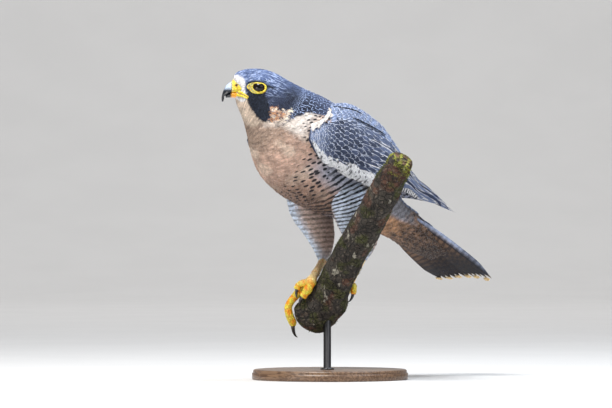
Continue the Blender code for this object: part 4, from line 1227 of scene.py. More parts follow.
def body_skin(surface, plumage):
    """The bird's bare form under its feathers, which carries the same markings."""
    sides = 96
    stations, turns = np.linspace(0, SKIN_END, 171), np.arange(sides) / sides
    t, turn = (grid.ravel() for grid in np.meshgrid(stations, turns, indexing="ij"))
    points = skin_point(t, turn * TURN - math.pi / 2, -coat_depth(t) - 0.25)
    j = turn * GRID_ROUND
    colour, spots, bars, _, streak = body_colour(t, from_top(j), points, np.zeros(len(t)))
    attributes = {
        "tint": colour * 0.8,
        "fringe": np.hstack([colour, np.zeros((len(t), 1))]),
        "marks": np.stack([spots, bars, np.full(len(t), 0.5), streak], -1),
    }
    uvs = {
        "OFBake": np.stack([turn, t / SKIN_END * 0.98 + BAKE_MARGIN], -1),
        "vane": np.full((len(t), 2), 0.5),
        "lie": surface.lie(t * GRID_ALONG, j, (1.0, 1.0)),
    }
    return plain_object("skin", points, ring_faces(len(stations), sides), plumage, attributes, uvs)


# Legs.


def leg_surface(side_name, depth):
    """The form of a leg, under its solid by a depth."""
    keys = LEG_STATIONS[side_name]
    k = spline(keys, np.linspace(0.6, len(keys) - 1, 90))
    angles = np.arange(120) * TURN / 120
    x = k[:, 0:1] + (k[:, 3:4] - depth) * np.cos(angles)
    y = k[:, 1:2] + (k[:, 4:5] - depth) * np.sin(angles)
    z = k[:, 2:3] + 0 * angles
    points = np.stack([x, y, z], -1)
    return Surface(points, True, points - points.mean(1, keepdims=True))


def leg_lie(points, side):
    """Where the bars of the legs run: up to the back on the left thigh as on the flank, and level below."""
    across = points @ np.array([0.643, 0.766, 0.0])
    level = smooth(225, 165, points[..., 2]) if side > 0 else 1.0
    down = (across - LEG_MIDDLE) * (0.47 - 0.42 * level) - points[..., 2] * 0.94
    across = across / 100
    return np.stack([across, down * 1.43 / 100 - BAR_SLOPE * np.abs(across)], -1)


def leg_feathers(side_name, plumage):
    side = SIDES[side_name]
    chance = np.random.default_rng(21 if side > 0 else 22)
    surface = leg_surface(side_name, 1.6)
    i, j, pitches = lay_rows(surface, 8.0, 200.0, 3.0, 3.0, chance, lambda i, j: np.isfinite(i))
    count = len(i)
    share = i / (surface.rows - 1)
    away = surface.sample(surface.points, i, j)[:, :2] - spline(LEG_STATIONS[side_name], share * 6)[:, :2]
    # Painted shade: the inner and rear sides of the legs are blended towards the vent's buff.
    inward = smooth(0, 13, -away[:, 0] * side)
    behind = smooth(2, 18, away[:, 1])
    colour = blend(np.broadcast_to(THIGH, (count, 3)), VENT_BUFF_AND_LEG_SHADE, np.maximum(inward, behind) * 0.75)
    colour = colour * (1 + chance.normal(0, 0.09, count))[:, None]
    bars = 1.0 - 0.30 * smooth(0.2, 0.6, share) - 0.4 * smooth(0.7, 0.95, share)
    bars *= 1.0 if side > 0 else 0.62 * smooth(0.08, 0.22, share)
    marks = np.stack([0 * share, bars * chance.uniform(0.8, 1.1, count), chance.uniform(0, 0.7, count)], -1)
    length = np.minimum(pitches * 3.0, 10.0) * (1 - 0.35 * smooth(0.8, 1.0, share))
    width = 4.8 * (1 - 0.45 * smooth(0.7, 1.0, share))
    coat = Coat()
    coat.lay(
        surface, BODY_FEATHER, i, j, length, width, 0.05, chance.uniform(1.1, 2.0, count), colour,
        (*WHITE, 0.2), marks, turn=chance.normal(0, 0.12, count), tilt=chance.uniform(-0.25, 0.25, count),
        cup=0.3, lie_of=lambda points: leg_lie(points, side),
    )
    rings = leg_surface(side_name, 1.9).points[::2, ::3]
    made = coat.build(f"coat_leg_{side_name}", plumage)
    return made, plumage_core(f"skin_leg_{side_name}", rings, plumage, THIGH, 0.85, 0.3)


def plumage_core(name, rings, plumage, colour, shade, bars):
    """A closed form under a coat, with the coat's colour and bars."""
    total = rings.shape[0] * rings.shape[1]
    attributes = {
        "tint": np.full((total, 3), colour) * shade,
        "fringe": np.full((total, 4), (*colour, 0.0)),
        "marks": np.full((total, 3), (0.0, bars, 0.5)),
    }
    return ringed_object(name, rings, plumage, attributes)


# Wings.


# The wing's surface runs this far past the ridge and the lower edge, as shares of the way between them. Its
# feathers' lengths go by the wing's span.
WING_EDGES = (-0.06, 1.08)
WING_SPAN = 290.0
UNMARKED = (0.0, 0.0, 0.5)


def wing_surface(side, h):
    uu, vv = np.meshgrid(np.linspace(0.0, 1.0, 240), np.linspace(*WING_EDGES, 90), indexing="ij")
    points = wing_point(side, uu.ravel(), vv.ravel(), np.full(uu.size, h)).reshape(*uu.shape, 3)
    return Surface(points, False, np.broadcast_to(np.array([side, 0.0, 0.15]), points.shape))


def wing_core(side):
    """The closed form under a wing's feathers, with its outer face and then its inner face in each ring."""
    across = np.linspace(0.03, 0.97, 24)
    edge = np.sqrt(np.clip(1 - (2 * across - 1) ** 8, 0, 1))
    rings = []
    for u in np.linspace(0.0, 0.92, 70):
        depth = spline(np.array(WING_DEPTH, float)[:, None], [u * (len(WING_DEPTH) - 1)])[0, 0]
        depth *= 0.3 + 0.7 * math.sqrt(max(0.0, 1 - (1 - min(1.0, u / 0.10)) ** 2))
        depth *= 1 - 0.85 * smooth(WING_CORE_END - 0.1, WING_CORE_END + 0.05, u)
        top = wing_point(side, np.full(24, u), across, -1.5 - 1.2 * (1 - edge))
        bottom = wing_point(side, np.full(24, u), across, -1.6 - depth * (0.25 + 0.7 * edge))
        rings.append(np.vstack([top, bottom[::-1]]))
    return np.array(rings)


# Rows of coverts from the front of the wing back: place of the tips, how many, and their length.
COVERT_ROWS = [
    (0.60, 10, 42), (0.555, 11, 40), (0.512, 11, 37), (0.470, 12, 34), (0.430, 12, 31), (0.391, 12, 28),
    (0.353, 12, 26), (0.317, 13, 23.5), (0.283, 13, 21.5), (0.251, 13, 19.5), (0.221, 13, 18),
    (0.193, 13, 16.5), (0.167, 13, 15), (0.143, 13, 14), (0.121, 12, 13), (0.101, 12, 12),
    (0.082, 12, 11), (0.065, 11, 10), (0.049, 11, 9.5), (0.034, 10, 9), (0.020, 10, 8.5), (0.007, 9, 8),
]
# Tips of the primaries and of the long inner feathers, rows of scapulars by their place and length, and
# lines on the wing where dark feathers lie as painted shade in the gaps, and where cream tufts show.
PRIMARY_TIPS = [
    (0.995, 0.55), (0.99, 0.86), (0.985, 0.22), (0.945, 0.94), (0.935, 0.60), (0.905, 0.32), (0.890, 0.88),
    (0.865, 0.60), (0.835, 0.38), (0.820, 0.95), (0.800, 0.70), (0.765, 0.48), (0.745, 0.90),
]
INNER_TIPS = [
    (0.80, 0.22), (0.775, 0.06), (0.745, 0.30), (0.715, 0.12), (0.70, 0.55), (0.68, 0.34),
    (0.655, 0.75), (0.64, 0.18), (0.62, 0.50), (0.60, 0.88), (0.585, 0.30),
]
SCAPULAR_ROWS = [(0.17, 28), (0.12, 30), (0.07, 31), (0.02, 32), (-0.03, 32)]
SHADE_GAP_LINES = [[(0.15, -0.035), (0.24, 0.04), (0.36, 0.05)], [(0.32, 0.21), (0.41, 0.215), (0.485, 0.20)]]
CREAM_LINE = [(0.005, 0.265), (0.05, 0.20), (0.10, 0.125), (0.14, 0.07)]


class Wing:
    """A wing's surface and coat. Its feathers are laid by the places of their tips."""

    def __init__(self, side):
        self.chance = np.random.default_rng(31)
        self.surface = wing_surface(side, -1.7)
        self.coat = Coat()

    def shade(self, base, count, amount=0.10):
        return np.asarray(base) * (1 + self.chance.normal(0, amount, (count, 1)))

    def lay(
        self, u, v, length, width, root_lift, tip_lift, tint, fringe, marks=UNMARKED, turn=0.0,
        template=COVERT, **extra
    ):
        surface = self.surface
        u, v = np.atleast_1d(np.asarray(u, float)), np.atleast_1d(np.asarray(v, float))
        turn = np.broadcast_to(np.asarray(turn, float), u.shape)
        at_i = u * (surface.rows - 1)
        at_j = (v - WING_EDGES[0]) / (WING_EDGES[1] - WING_EDGES[0]) * (surface.columns - 1)
        i, j = at_i, at_j
        for _ in range(4):
            step_i, step_j = surface.steps(np.maximum(i, 0), j)
            i = at_i - length * np.cos(turn) / step_i
            j = at_j - length * np.sin(turn) / step_j
        length = length + np.minimum(i, 0) * step_i
        seed = self.chance.uniform(size=len(u))
        self.coat.lay(
            surface, template, np.maximum(i, 0), j, length, width, root_lift, tip_lift, tint, fringe, marks,
            turn=turn, thickness=0.4, seed=seed, local_lie=True, **extra,
        )


WING_BLUE = blend(SLATE, SLATE_PALE, 0.22)


def lay_flight_feathers(wing):
    """Primaries, then the long inner feathers over them."""
    shared = {"template": FLIGHT, "tilt": -0.3, "under_tint": FLANK, "under_fringe": (*WHITE, 0.2)}
    shared["under_marks"] = (0, 0.8, 0.3)
    pale_blue = blend(WING_BLUE, SLATE_PALE, 0.10)
    for n, (u, v) in enumerate(PRIMARY_TIPS):
        wing.lay(
            u, v, 0.42 * WING_SPAN, 13.5, -1.6 + 0.08 * n, 0.1 + 0.13 * n, wing.shade(pale_blue, 1),
            (*WHITE, 0.9), turn=0.01 * math.sin(3 * n), **shared,
        )
    for n, (u, v) in enumerate(INNER_TIPS):
        wing.lay(
            u, v, 0.30 * WING_SPAN, 14.5, 0.1, 1.5 + 0.10 * n, wing.shade(WING_BLUE, 1, 0.12),
            (*WHITE, 0.95), **shared,
        )


def lay_coverts(wing):
    """Rows of coverts, each over the one behind it, dark at the middle and pale blue at the ridge."""
    chance = wing.chance
    row_width = wing.surface.across.mean() * (wing.surface.columns - 1)
    for number, (u, count, length) in enumerate(COVERT_ROWS):
        stagger = 0.5 + 0.25 * (-1) ** number
        v = 0.02 + 0.97 * (np.arange(count) + stagger + chance.normal(0, 0.10, count)) / count
        width = np.interp(u, [0, 0.15], [0.85, 1.0]) * (row_width / count * 1.45)
        width = width * chance.uniform(0.85, 1.15, count)
        uu = u + chance.normal(0, 0.0045, count) - 0.020 * np.abs(v - 0.5) ** 2 * 4 * (u > 0.1)
        dark = 0.10 + 0.45 * chance.uniform(size=count) * smooth(0.05, 0.2, uu)
        front, ridge = smooth(0.20, 0.02, uu), smooth(0.20, 0.02, v)
        tint = wing.shade(blend(blend(SLATE, SLATE_PALE, 0.08), SLATE_DARK, dark), count, 0.15)
        tint = painted(
            tint,
            (WING_BLUE, smooth(0.22, 0.0, v) * 0.6),
            (blend(WING_BLUE, SLATE_PALE, 0.15), smooth(0.6, 0.15, v) * smooth(0.2, 0.4, uu) * 0.6),
            (blend(WING_BLUE, SLATE_PALE, 0.18), front * 0.9),
        )
        rim = blend(SLATE_PALE, WHITE, 0.50 + 0.3 * smooth(0.15, 0.0, uu) + 0.3 * smooth(0.35, 0.6, uu))
        rim = np.hstack([rim, chance.uniform(0.88, 1.0, (count, 1))])
        lift = 1.25 + 0.03 * number
        turned = chance.normal(0, 0.09, count) - 0.10 * (v - 0.3)
        streak = 0.55 * front + 0.35 * ridge
        marks = np.stack([0 * streak, 0 * streak, 0 * streak + 0.5, streak], -1)
        wing.lay(
            uu, v, length * chance.uniform(0.9, 1.1, count), width, lift - 0.9, lift + 0.5, tint, rim, marks,
            turned, tilt=-0.22, cup=0.15,
        )


def lay_scapulars(wing):
    """Overlapping rows along the back, each by the place of its line and the length of its feathers."""
    count = 17
    for row, (v0, length) in enumerate(SCAPULAR_ROWS):
        u = np.linspace(0.64 - 0.03 * row, 0.07, count)
        v = v0 + 0.015 * np.sin(np.arange(count) * 2.0 + row) + 0.05 * (u - 0.3)
        tint = wing.shade(blend(WING_BLUE, SLATE_PALE, 0.12), count, 0.18)
        for k in range(count):
            lift = 2.2 + 0.30 * row + 0.03 * k
            rim = blend(SLATE_PALE, WHITE, 0.35 + 0.5 * u[k])
            wing.lay(
                u[k], v[k], length * (0.5 + 0.8 * u[k]), 12.0, lift - 1.2, lift + 0.4, tint[k], (*rim, 1.0),
                (*UNMARKED, 0.7), -0.08 + wing.chance.normal(0, 0.06), tilt=-0.25, cup=0.3,
            )


def lay_lower_edge(wing):
    """White feathers along the lower edge, a few of them with dark marks, and white barred ones behind."""
    chance = wing.chance
    count = 60
    u = np.linspace(0.03, 0.52, count)
    v = 1.0 + 0.016 * np.sin(np.arange(count) * 1.7)
    wide = between([(0, 3.4), (0.2, 5.4), (0.3, 9.5), (0.52, 11.0)], u)
    marked = 0.8 * (chance.uniform(size=count) < 0.35)
    marks = np.stack([np.zeros(count), marked, chance.uniform(0, 3, count)], -1)
    tint = wing.shade((0.95, 0.95, 0.97), count, 0.04)
    wing.lay(
        u, v, wide * 2.2, wide, 1.2, 2.4, tint, (*WHITE, 0.3), marks, chance.normal(0, 0.22, count),
        lie_scale=(1.0, 1.3),
    )
    count = 4
    wing.lay(
        np.linspace(0.73, 0.80, count), np.linspace(1.02, 1.06, count), 38.0, 7.0, 0.5, 1.4,
        wing.shade(WHITE, count, 0.03), (*WHITE, 0.3), (0.0, 1.0, 0.4), template=FLIGHT,
        lie_scale=(1.0, 1.3),
    )


def lay_shade_gaps_and_tufts(wing):
    """Painted shade as dark feathers in the gaps between groups, and cream body feathers that show over the
    wrist.
    """
    chance = wing.chance
    for line in SHADE_GAP_LINES:
        u, v = spline(line, np.linspace(0, 2, 14)).T
        turn = chance.normal(0.12, 0.05, 14)
        # These very dark feathers are painted shade.
        tint = np.asarray(SLATE_DARK) * 0.8
        wing.lay(u, v, 12.0, 1.5, 3.2, 3.9, tint, (*SLATE_DARK, 0.0), turn=turn)
    run = np.concatenate([np.linspace(0, 3, 36), np.linspace(0, 1.0, 14), np.linspace(2.0, 3.0, 14)])
    count = len(run)
    u, v = (spline(CREAM_LINE, run) + chance.normal(0, 0.010, (count, 2)) * np.array([1.0, 2.4])).T
    wing.lay(
        u, v, chance.uniform(5, 9, count), 4.5, 3.6, chance.uniform(4.0, 5.0, count),
        wing.shade(blend(CREAM, WHITE, 0.5), count), (*WHITE, 0.4), turn=chance.normal(-0.4, 0.6, count),
        cup=0.3,
    )


def lay_inner_face(wing, rings, side):
    """Barred feathers under the wing."""
    chance = wing.chance
    points = rings[:, 24:]
    inner = Surface(points, False, np.broadcast_to(np.array([-side, 0.0, -0.15]), points.shape))
    i, j, _ = lay_rows(inner, 2.0, 262.0, 8.0, 8.0, chance, lambda i, j: j < 23)
    count = len(i)
    marks = np.stack([np.zeros(count), np.full(count, 0.9), chance.uniform(0, 1.5, count)], -1)
    wing.coat.lay(
        inner, COVERT, i, j, 22.0, 12.5, 0.1, chance.uniform(0.6, 1.0, count), wing.shade(UNDER_WING, count),
        (*WHITE, 0.5), marks, turn=chance.normal(0, 0.08, count), cup=0.2,
    )


def wing_feathers(side_name, plumage):
    side = SIDES[side_name]
    wing = Wing(side)
    for lay in (lay_flight_feathers, lay_coverts, lay_scapulars, lay_lower_edge, lay_shade_gaps_and_tufts):
        lay(wing)
    rings = wing_core(side)
    lay_inner_face(wing, rings, side)
    feathers = wing.coat.build(f"feathers_wing_{side_name}", plumage)
    return feathers, plumage_core(f"wing_core_{side_name}", rings, plumage, SLATE, 1.0, 0.0)


# Tail.


# The tail's surface starts this far before its root and reaches this far to each side, in steps of 2.
TAIL_BEFORE = 20
TAIL_ASIDE = 70
TAIL_BLUE = blend(SLATE, SLATE_PALE, 0.30)
TAIL_START = 8.0


class Tail:
    """The tail's surface and coat. Its feathers are laid by millimetres along it and across it."""

    def __init__(self):
        self.chance = np.random.default_rng(41)
        aside = np.linspace(-TAIL_ASIDE, TAIL_ASIDE, TAIL_ASIDE + 1)
        aa, bb = np.meshgrid(np.linspace(-TAIL_BEFORE, 160, 91), aside, indexing="ij")
        points = tail_point(aa, bb)
        self.surface = Surface(points, False, np.broadcast_to(np.array([0.0, 0.5, 0.8]), points.shape))
        self.coat = Coat()

    def lay(self, template, a, b, length, width, root_lift, tip_lift, tint, fringe, marks, **extra):
        i = (np.atleast_1d(a) + TAIL_BEFORE) / 2
        j = (np.atleast_1d(b) + TAIL_ASIDE) / 2
        self.coat.lay(
            self.surface, template, i, j, length, width, root_lift, tip_lift, tint, fringe, marks,
            local_lie=True, **extra,
        )


def lay_rectrix(tail, side_name, n):
    """One long tail feather, the nth from the middle: slate above and buff to dark below, with bars."""
    side, chance = SIDES[side_name], tail.chance
    column, nominal = TAIL_FEATHER.column, TAIL_FEATHER.nominal
    tip = smooth(0.955, 0.97, nominal)
    length = TAIL_LENGTH + TAIL_OUTER_GAIN[side_name] * n * n + chance.uniform(-1, 1)
    angle = math.radians(TAIL_FAN_STEP[side_name] * (n + 0.5)) * side
    root = side * TAIL_SPREAD_STEP * (n + 0.5) + math.tan(angle) * TAIL_START
    lift = 1.5 - 0.85 * n
    upper = blend(blend(TAIL_BLUE, SLATE_DARK, nominal * 0.5), TAIL_TIP, tip)
    edge = smooth(0.4, 1.0, np.abs(column))
    lower = blend(blend(TAIL_BUFF, TAIL_END, smooth(0.30, 0.85, nominal)), TAIL_END, edge * 0.6)
    lower = lower * (1 + chance.normal(0, 0.12))
    pale_edge = np.zeros(len(column))
    if side_name == "left" and n >= 4:
        pale_edge = smooth(0.25, 0.45, column) * (1 - 0.6 * smooth(0.5, 0.75, nominal))
        lower = blend(lower, MARK_COLOUR, smooth(0.34, 0.05, np.abs(column - 0.1)))
        lower = blend(lower, blend(SLATE_PALE, WHITE, 0.15), pale_edge * 0.95)
    lower = blend(lower, TAIL_TIP, tip * 0.25)
    strength = 0.8 * (1 - tip) * (1 - 0.8 * pale_edge)
    bars = np.stack([0 * tip, strength, 0 * tip + chance.uniform(0, 6)], -1)
    tail.lay(
        TAIL_FEATHER, TAIL_START, root, (length - TAIL_START) / math.cos(angle), 2 * RECTRIX_HALF_WIDTH,
        lift, lift, upper[None], (*SLATE_PALE, 0.1), bars[None] * 0.8, turn=angle, tilt=-0.2 * side,
        thickness=0.5, seed=[chance.uniform()], lie_scale=(0.5, 0.85), under_tint=lower[None],
        under_fringe=(*TAIL_END, 0.0), under_marks=bars[None] * 0.85,
    )
    if n % 2 == (side < 0):
        back = 6.0
        across = root + (length - TAIL_START - back) * math.tan(angle)
        tail.lay(
            COVERT, length - back, across, back + 0.8, 11.0, lift - 1.3, lift - 1.3, TAIL_TIP,
            (*CREAM, 0.3), UNMARKED, turn=angle, thickness=0.6, seed=[0.5],
        )


def lay_middle_feather(tail):
    """The middle feather, on top of the others."""
    nominal = TAIL_FEATHER.nominal
    tip = smooth(0.955, 0.97, nominal)
    upper = blend(blend(TAIL_BLUE, SLATE_DARK, nominal * 0.5), TAIL_TIP, tip)
    bars = np.stack([0 * tip, 0.8 * (1 - tip), 0 * tip + 0.5], -1)
    tail.lay(
        TAIL_FEATHER, TAIL_START, 0.0, TAIL_LENGTH - 6.0, 2 * RECTRIX_HALF_WIDTH, 2.1, 2.1, upper[None],
        (*SLATE_PALE, 0.1), bars[None] * 0.8, thickness=0.4, seed=[0.3], lie_scale=(0.5, 0.85),
    )


def lay_tail_coverts(tail, above):
    """Rows of coverts over or under the root of the tail."""
    chance, count = tail.chance, 9
    for row in range(7 if above else 5):
        start = 2 + row * 6.5
        spread = np.linspace(-1, 1, count) * (15 + 0.14 * start) + chance.normal(0, 0.8, count)
        if above:
            colour, bars, rim = blend(SLATE, SLATE_PALE, 0.35), 0.45, SLATE_PALE
            lift = np.maximum(13 - 0.16 * start - spread**2 * 0.016, 5.0 - 0.02 * start)
            tip_lift = np.maximum(lift - 2.6, 2.6)
        else:
            colour, bars, rim = blend(UNDERTAIL, TAIL_BUFF, 0.2 * row), 0.8, CREAM
            lift = np.minimum(-13 + 0.17 * start + spread**2 * 0.012, -5.0)
            tip_lift = np.minimum(lift + 2.4, -4.2)
        colour = colour * (1 + chance.normal(0, 0.08, (count, 1)))
        tail.lay(
            COVERT, np.full(count, start), spread, 21.0, 11.0, lift, tip_lift, colour, (*rim, 0.4),
            (0.0, bars, 0.5), turn=spread * 0.006, thickness=0.35, cup=0.8 if above else -0.8,
            seed=chance.uniform(size=count), lie_scale=(1.0, 1.7),
        )


def tail_feathers(plumage):
    tail = Tail()
    for side_name in SIDES:
        for n in range(TAIL_FEATHERS_A_SIDE):
            lay_rectrix(tail, side_name, n)
    lay_middle_feather(tail)
    for above in (True, False):
        lay_tail_coverts(tail, above)
    return tail.coat.build("feathers_tail", plumage)


# Head parts.


def eye_place(side):
    """Centre of an eyeball, and the way that it looks."""
    forward, left = heading(HEAD_YAW)
    out = unit(left * side * math.cos(math.radians(EYE_TURN)) + forward * math.sin(math.radians(EYE_TURN)))
    lateral = skin_lateral(EYE_REACH, EYE_HEIGHT)
    return head_point(EYE_REACH + 1, EYE_HEIGHT, side * lateral) - out * EYE_DEPTH, out


# Colours of the eye from its middle out, and the steps of its mesh.
PUPIL = (0.003, 0.003, 0.004)
IRIS = (0.016, 0.008, 0.005)
EYE_RIM = (0.006, 0.005, 0.005)
EYE_SIDES = 48


def eye(name, side, material):
    """An eyeball with a clear bulge over its iris. Its colour runs from pupil to iris to the dark rim."""
    centre, out = eye_place(side)
    wide = unit(np.cross(out, UP))
    angles = np.arange(EYE_SIDES) * TURN / EYE_SIDES
    circle = np.outer(np.cos(angles), wide) + np.outer(np.sin(angles), np.cross(wide, out))
    rings, tint = [], []
    for latitude in np.linspace(0.02, math.pi - 0.02, 56):
        radius = EYE_RADIUS * (1 + 0.035 * hump(latitude, 0.42))
        rings.append(centre + (math.cos(latitude) * out + math.sin(latitude) * circle) * radius)
        from_middle = EYE_RADIUS * math.sin(min(latitude, math.pi / 2))
        iris, rim = smooth(2.9, 3.3, from_middle), smooth(5.2, 6.0, from_middle)
        tint.append(np.broadcast_to(painted(PUPIL, (IRIS, iris), (EYE_RIM, rim)), (EYE_SIDES, 3)))
    return ringed_object(name, rings, material, {"tint": np.vstack(tint)})


def closed_line(keys, steps):
    """Points on a smooth closed line through the keys."""
    keys = np.array(keys)
    return spline(np.vstack([keys[-1:], keys, keys[:3]]), np.arange(steps) / steps * len(keys) + 1)


def lid_section(side, number, inner, outer, across):
    """One section of an eye ring from its inner to its outer edge: points on top and under, and tints."""
    out = eye_place(side)[1]
    width = math.hypot(*(outer - inner))
    top, under, tint = [], [], []
    for q in np.linspace(0, 1, across):
        ahead, above = inner + (outer - inner) * q
        reach, height = EYE_REACH + ahead, EYE_HEIGHT + above
        place = head_point(reach, height, side * skin_lateral(reach, height))
        from_axis = math.hypot(ahead - 1.0, above)
        on_eye = math.sqrt(max(0.0, EYE_RADIUS**2 - from_axis**2)) - EYE_DEPTH + 0.25
        roll = 0.75 * hump(q * width - 1.1, 0.85) + 0.45 * hump((1 - q) * width - 1.0, 0.8)
        wrinkle = 0.10 * math.sin(number * 1.1) * math.sin(math.pi * q)
        lift = max(on_eye, -0.3) * (1 - q) ** 1.5 - 0.35 * q + roll + wrinkle
        top.append(place + out * lift)
        under.append(place - out * 1.6)
        # Painted shade: olive in the ring's front point, a darker strip along its edge at the eye, and a
        # darker under face.
        front = smooth(1.0, 5.0, ahead) * smooth(2.2, 4.0, width)
        pale = front * smooth(0.12, 0.3, q) * smooth(0.92, 0.7, q)
        tint.append(blend(YELLOW, LID_OLIVE_SHADE, pale * 0.75) * (1 - 0.35 * float(q < 0.05)))
    return top + under[::-1], tint + [np.array(YELLOW) * 0.6] * across


def lid(name, side, material):
    """The bare yellow skin round an eye: it laps over the eyeball, rolls to a rim and ends in a point."""
    steps, across = 104, 12
    lines = zip(closed_line(LID_INNER, steps), closed_line(LID_OUTER, steps))
    sections = [lid_section(side, number, *edges, across) for number, edges in enumerate(lines)]
    points, tint = (np.concatenate(held) for held in zip(*sections))
    faces = grid_faces(steps, 2 * across, close_rows=True)
    uvs = {"OFBake": ring_uvs(steps, 2 * across)}
    return plain_object(name, points, faces, material, {"tint": tint}, uvs)


def loft(stations, steps, sides):
    """Rings through the stations of a head part, with each point's station and angle."""
    grids = np.meshgrid(
        np.linspace(0, len(stations) - 1, steps), np.arange(sides) * TURN / sides, indexing="ij"
    )
    t, angle = (grid.ravel() for grid in grids)
    return ring_points(stations, t, angle).reshape(steps, sides, 3), t, angle


def cere(material):
    """The bare skin at the root of the bill, with its nostrils."""
    rings = loft(CERE_STATIONS, 60, 96)[0]
    points = rings.reshape(-1, 3)
    reach, height, lateral = head_place(points)
    away = np.hypot(reach - NOSTRIL_REACH, height - NOSTRIL_HEIGHT)
    hole = smooth(NOSTRIL_RADIUS * 1.15, NOSTRIL_RADIUS * 0.75, away)
    rim = hump(away - NOSTRIL_RADIUS * 1.35, 0.45)
    peg = smooth(0.55, 0.2, away)
    feathered = smooth(-0.4, 1.4, between(CERE_EDGE, height) - reach)
    push = -2.2 * hole + 0.25 * rim + 1.7 * peg + 0.08 * ripple(points, 2.6, 7) - 3.0 * feathered
    points = points + np.outer(push * np.sign(lateral) * (np.abs(lateral) > 4), heading(HEAD_YAW)[1])
    # The nostril's hollow is darkened as painted shade.
    tint = painted(
        np.tile(YELLOW, (len(points), 1)),
        (WHITE, 0.25 * smooth(52.0, 54.5, reach)),
        (NOSTRIL_RED, smooth(NOSTRIL_RADIUS * 1.5, NOSTRIL_RADIUS * 0.6, away)),
        (NOSTRIL_SHADE, hole * (1 - peg)),
    )
    return ringed_object("cere_skin", points.reshape(rings.shape), material, {"tint": tint})


def horn_object(name, rings, points, pale, dark_share, material):
    """Half a bill, pale at its root and dark at its tip, with faint streaks."""
    tint = blend(np.tile(pale, (len(points), 1)), HORN_DARK, dark_share)
    tint = tint * (1 + 0.12 * ripple(points * np.array([1, 1, 2.5]), 3.5, 9))[:, None]
    return ringed_object(name, points.reshape(rings.shape), material, {"tint": np.clip(tint, 0.004, 1)})


def bill_halves(material):
    """The hooked upper half of the bill with its tooth, and the lower half."""
    rings, t, angle = loft(UPPER_BILL_STATIONS, 72, 72)
    points = rings.reshape(-1, 3)
    reach, height, lateral = head_place(points)
    tooth = hump(t - 2.35, 0.22) - 0.8 * hump(t - 2.85, 0.22)
    tooth = tooth * smooth(-0.3, -0.8, np.sin(angle)) * (np.abs(lateral) > 0.8)
    points = points - UP * (0.75 * tooth)[:, None]
    dark = np.maximum(smooth(343.0, 339.0, height), smooth(60.5, 64.5, reach))
    upper = horn_object("bill_upper_horn", rings, points, HORN_PALE, dark, material)

    rings = loft(LOWER_BILL_STATIONS, 72, 72)[0]
    points = rings.reshape(-1, 3)
    dark = smooth(53.5, 56.5, head_place(points)[0])
    points = points - unit(points - points.mean(0)) * 0.15
    return upper, horn_object("bill_lower_horn", rings, points, ORANGE, dark, material)


def gape(side_name, side, material):
    """The fleshy yellow corner of the mouth, as a fold above it and a fold below."""
    steps, sides = 26, 14
    points = []
    for line in GAPE_LINES:
        keys = [head_point(reach, z, side * (skin_lateral(reach, z) + 0.1)) for reach, z in line]
        radii = np.linspace(1.75, 0.8, steps) * (1 + 0.07 * np.sin(np.arange(steps) * 1.9))
        radii[-1] = 0.15
        points.append(tube_rings(spline(keys, np.linspace(0, 2, steps)), radii, sides)[0].reshape(-1, 3))
    points = np.vstack(points)
    faces = ring_faces(steps, sides)
    faces = faces + [tuple(v + steps * sides for v in face) for face in faces]
    unwrap = ring_uvs(steps, sides) * 0.5
    tint = np.tile(YELLOW, (len(points), 1))
    uvs = {"OFBake": np.vstack([unwrap, unwrap + 0.5])}
    return plain_object(f"gape_{side_name}", points, faces, material, {"tint": tint}, uvs)


# Feet.


def ball_centre(side_name):
    """The middle of the foot, where its toes meet."""
    s, degrees = FOOT_BALLS[side_name]
    return branch_point(s, math.radians(degrees), BALL_RADIUS + 0.8)


def shank(side_name):
    """The two ends of the bare lower leg."""
    top = np.array(LEG_STATIONS[side_name][-1][:3], float)
    return top, top + (ball_centre(side_name) - top) * 0.62


def scuted(path, radii, sides, outward, scute, height):
    """A toe or shank: broad plates across its outer side, and small round scales elsewhere."""
    rings, circle, angles = tube_rings(path, radii, sides)
    run = np.concatenate([[0], np.cumsum(np.linalg.norm(np.diff(path, axis=0), axis=1))])
    facing = np.clip((circle * np.asarray(outward)[:, None]).sum(-1), -1, 1)
    plates = np.abs(np.sin(run * math.pi / scute))[:, None] ** 0.6
    pebbles = np.sin(run * 3.1)[:, None] * np.sin(angles * 7)[None]
    shape = height * (plates * smooth(0.1, 0.6, facing) + 0.35 * pebbles * smooth(0.5, -0.1, facing))
    return rings + circle * shape[..., None]


def toe_path(side_name, steps, radius, count):
    """A toe's path over the bark, its radii and the way out from the bark along it."""
    s0, turn0 = FOOT_BALLS[side_name]
    keys = [(s0, turn0, 0.0)] + [(s0 + ds, turn0 + dt, lift) for ds, dt, lift in steps]
    shares = np.linspace(0, len(keys) - 1, count)
    places = spline(keys, shares)
    radii = radius * (1 - 0.22 * shares / shares[-1])
    turns = np.radians(places[:, 1])
    path = branch_point(places[:, 0], turns, radii + 0.9 + places[:, 2])
    return path, radii, branch_direction(turns)


def claw(name, toe, toe_radius, inward, length, material):
    """A talon, round above and narrow from side to side, that hooks in round the branch."""
    ahead = unit(toe[-1] - toe[-2])
    bend = unit(inward - ahead * (inward @ ahead))
    hook = CLAW_HOOK
    if name == FREE_CLAW:
        hook, length = FREE_CLAW_HOOK, FREE_CLAW_LENGTH
    share = np.linspace(0, 1, 34)
    run = length * np.sin(share * CLAW_TURN) / CLAW_TURN
    drop = length * (1 - np.cos(share * CLAW_TURN)) / CLAW_TURN
    path = toe[-1] + np.outer(run - 1.2, ahead) + np.outer(drop * hook, bend)
    radii = np.maximum(0.12, toe_radius * 0.74 * (1 - share) ** 0.75)
    side = unit(np.cross(ahead, bend))
    rings, circle, _ = tube_rings(path, radii, 24, side_hint=side)
    squeeze = (circle @ side)[..., None] * side * (radii[:, None, None] * -0.16)
    tint = blend(TALON_BLACK, TALON_ROOT, np.repeat(smooth(0.28, 0.0, share), 24))
    return ringed_object(name + "_horn", rings + squeeze, material, {"tint": tint})


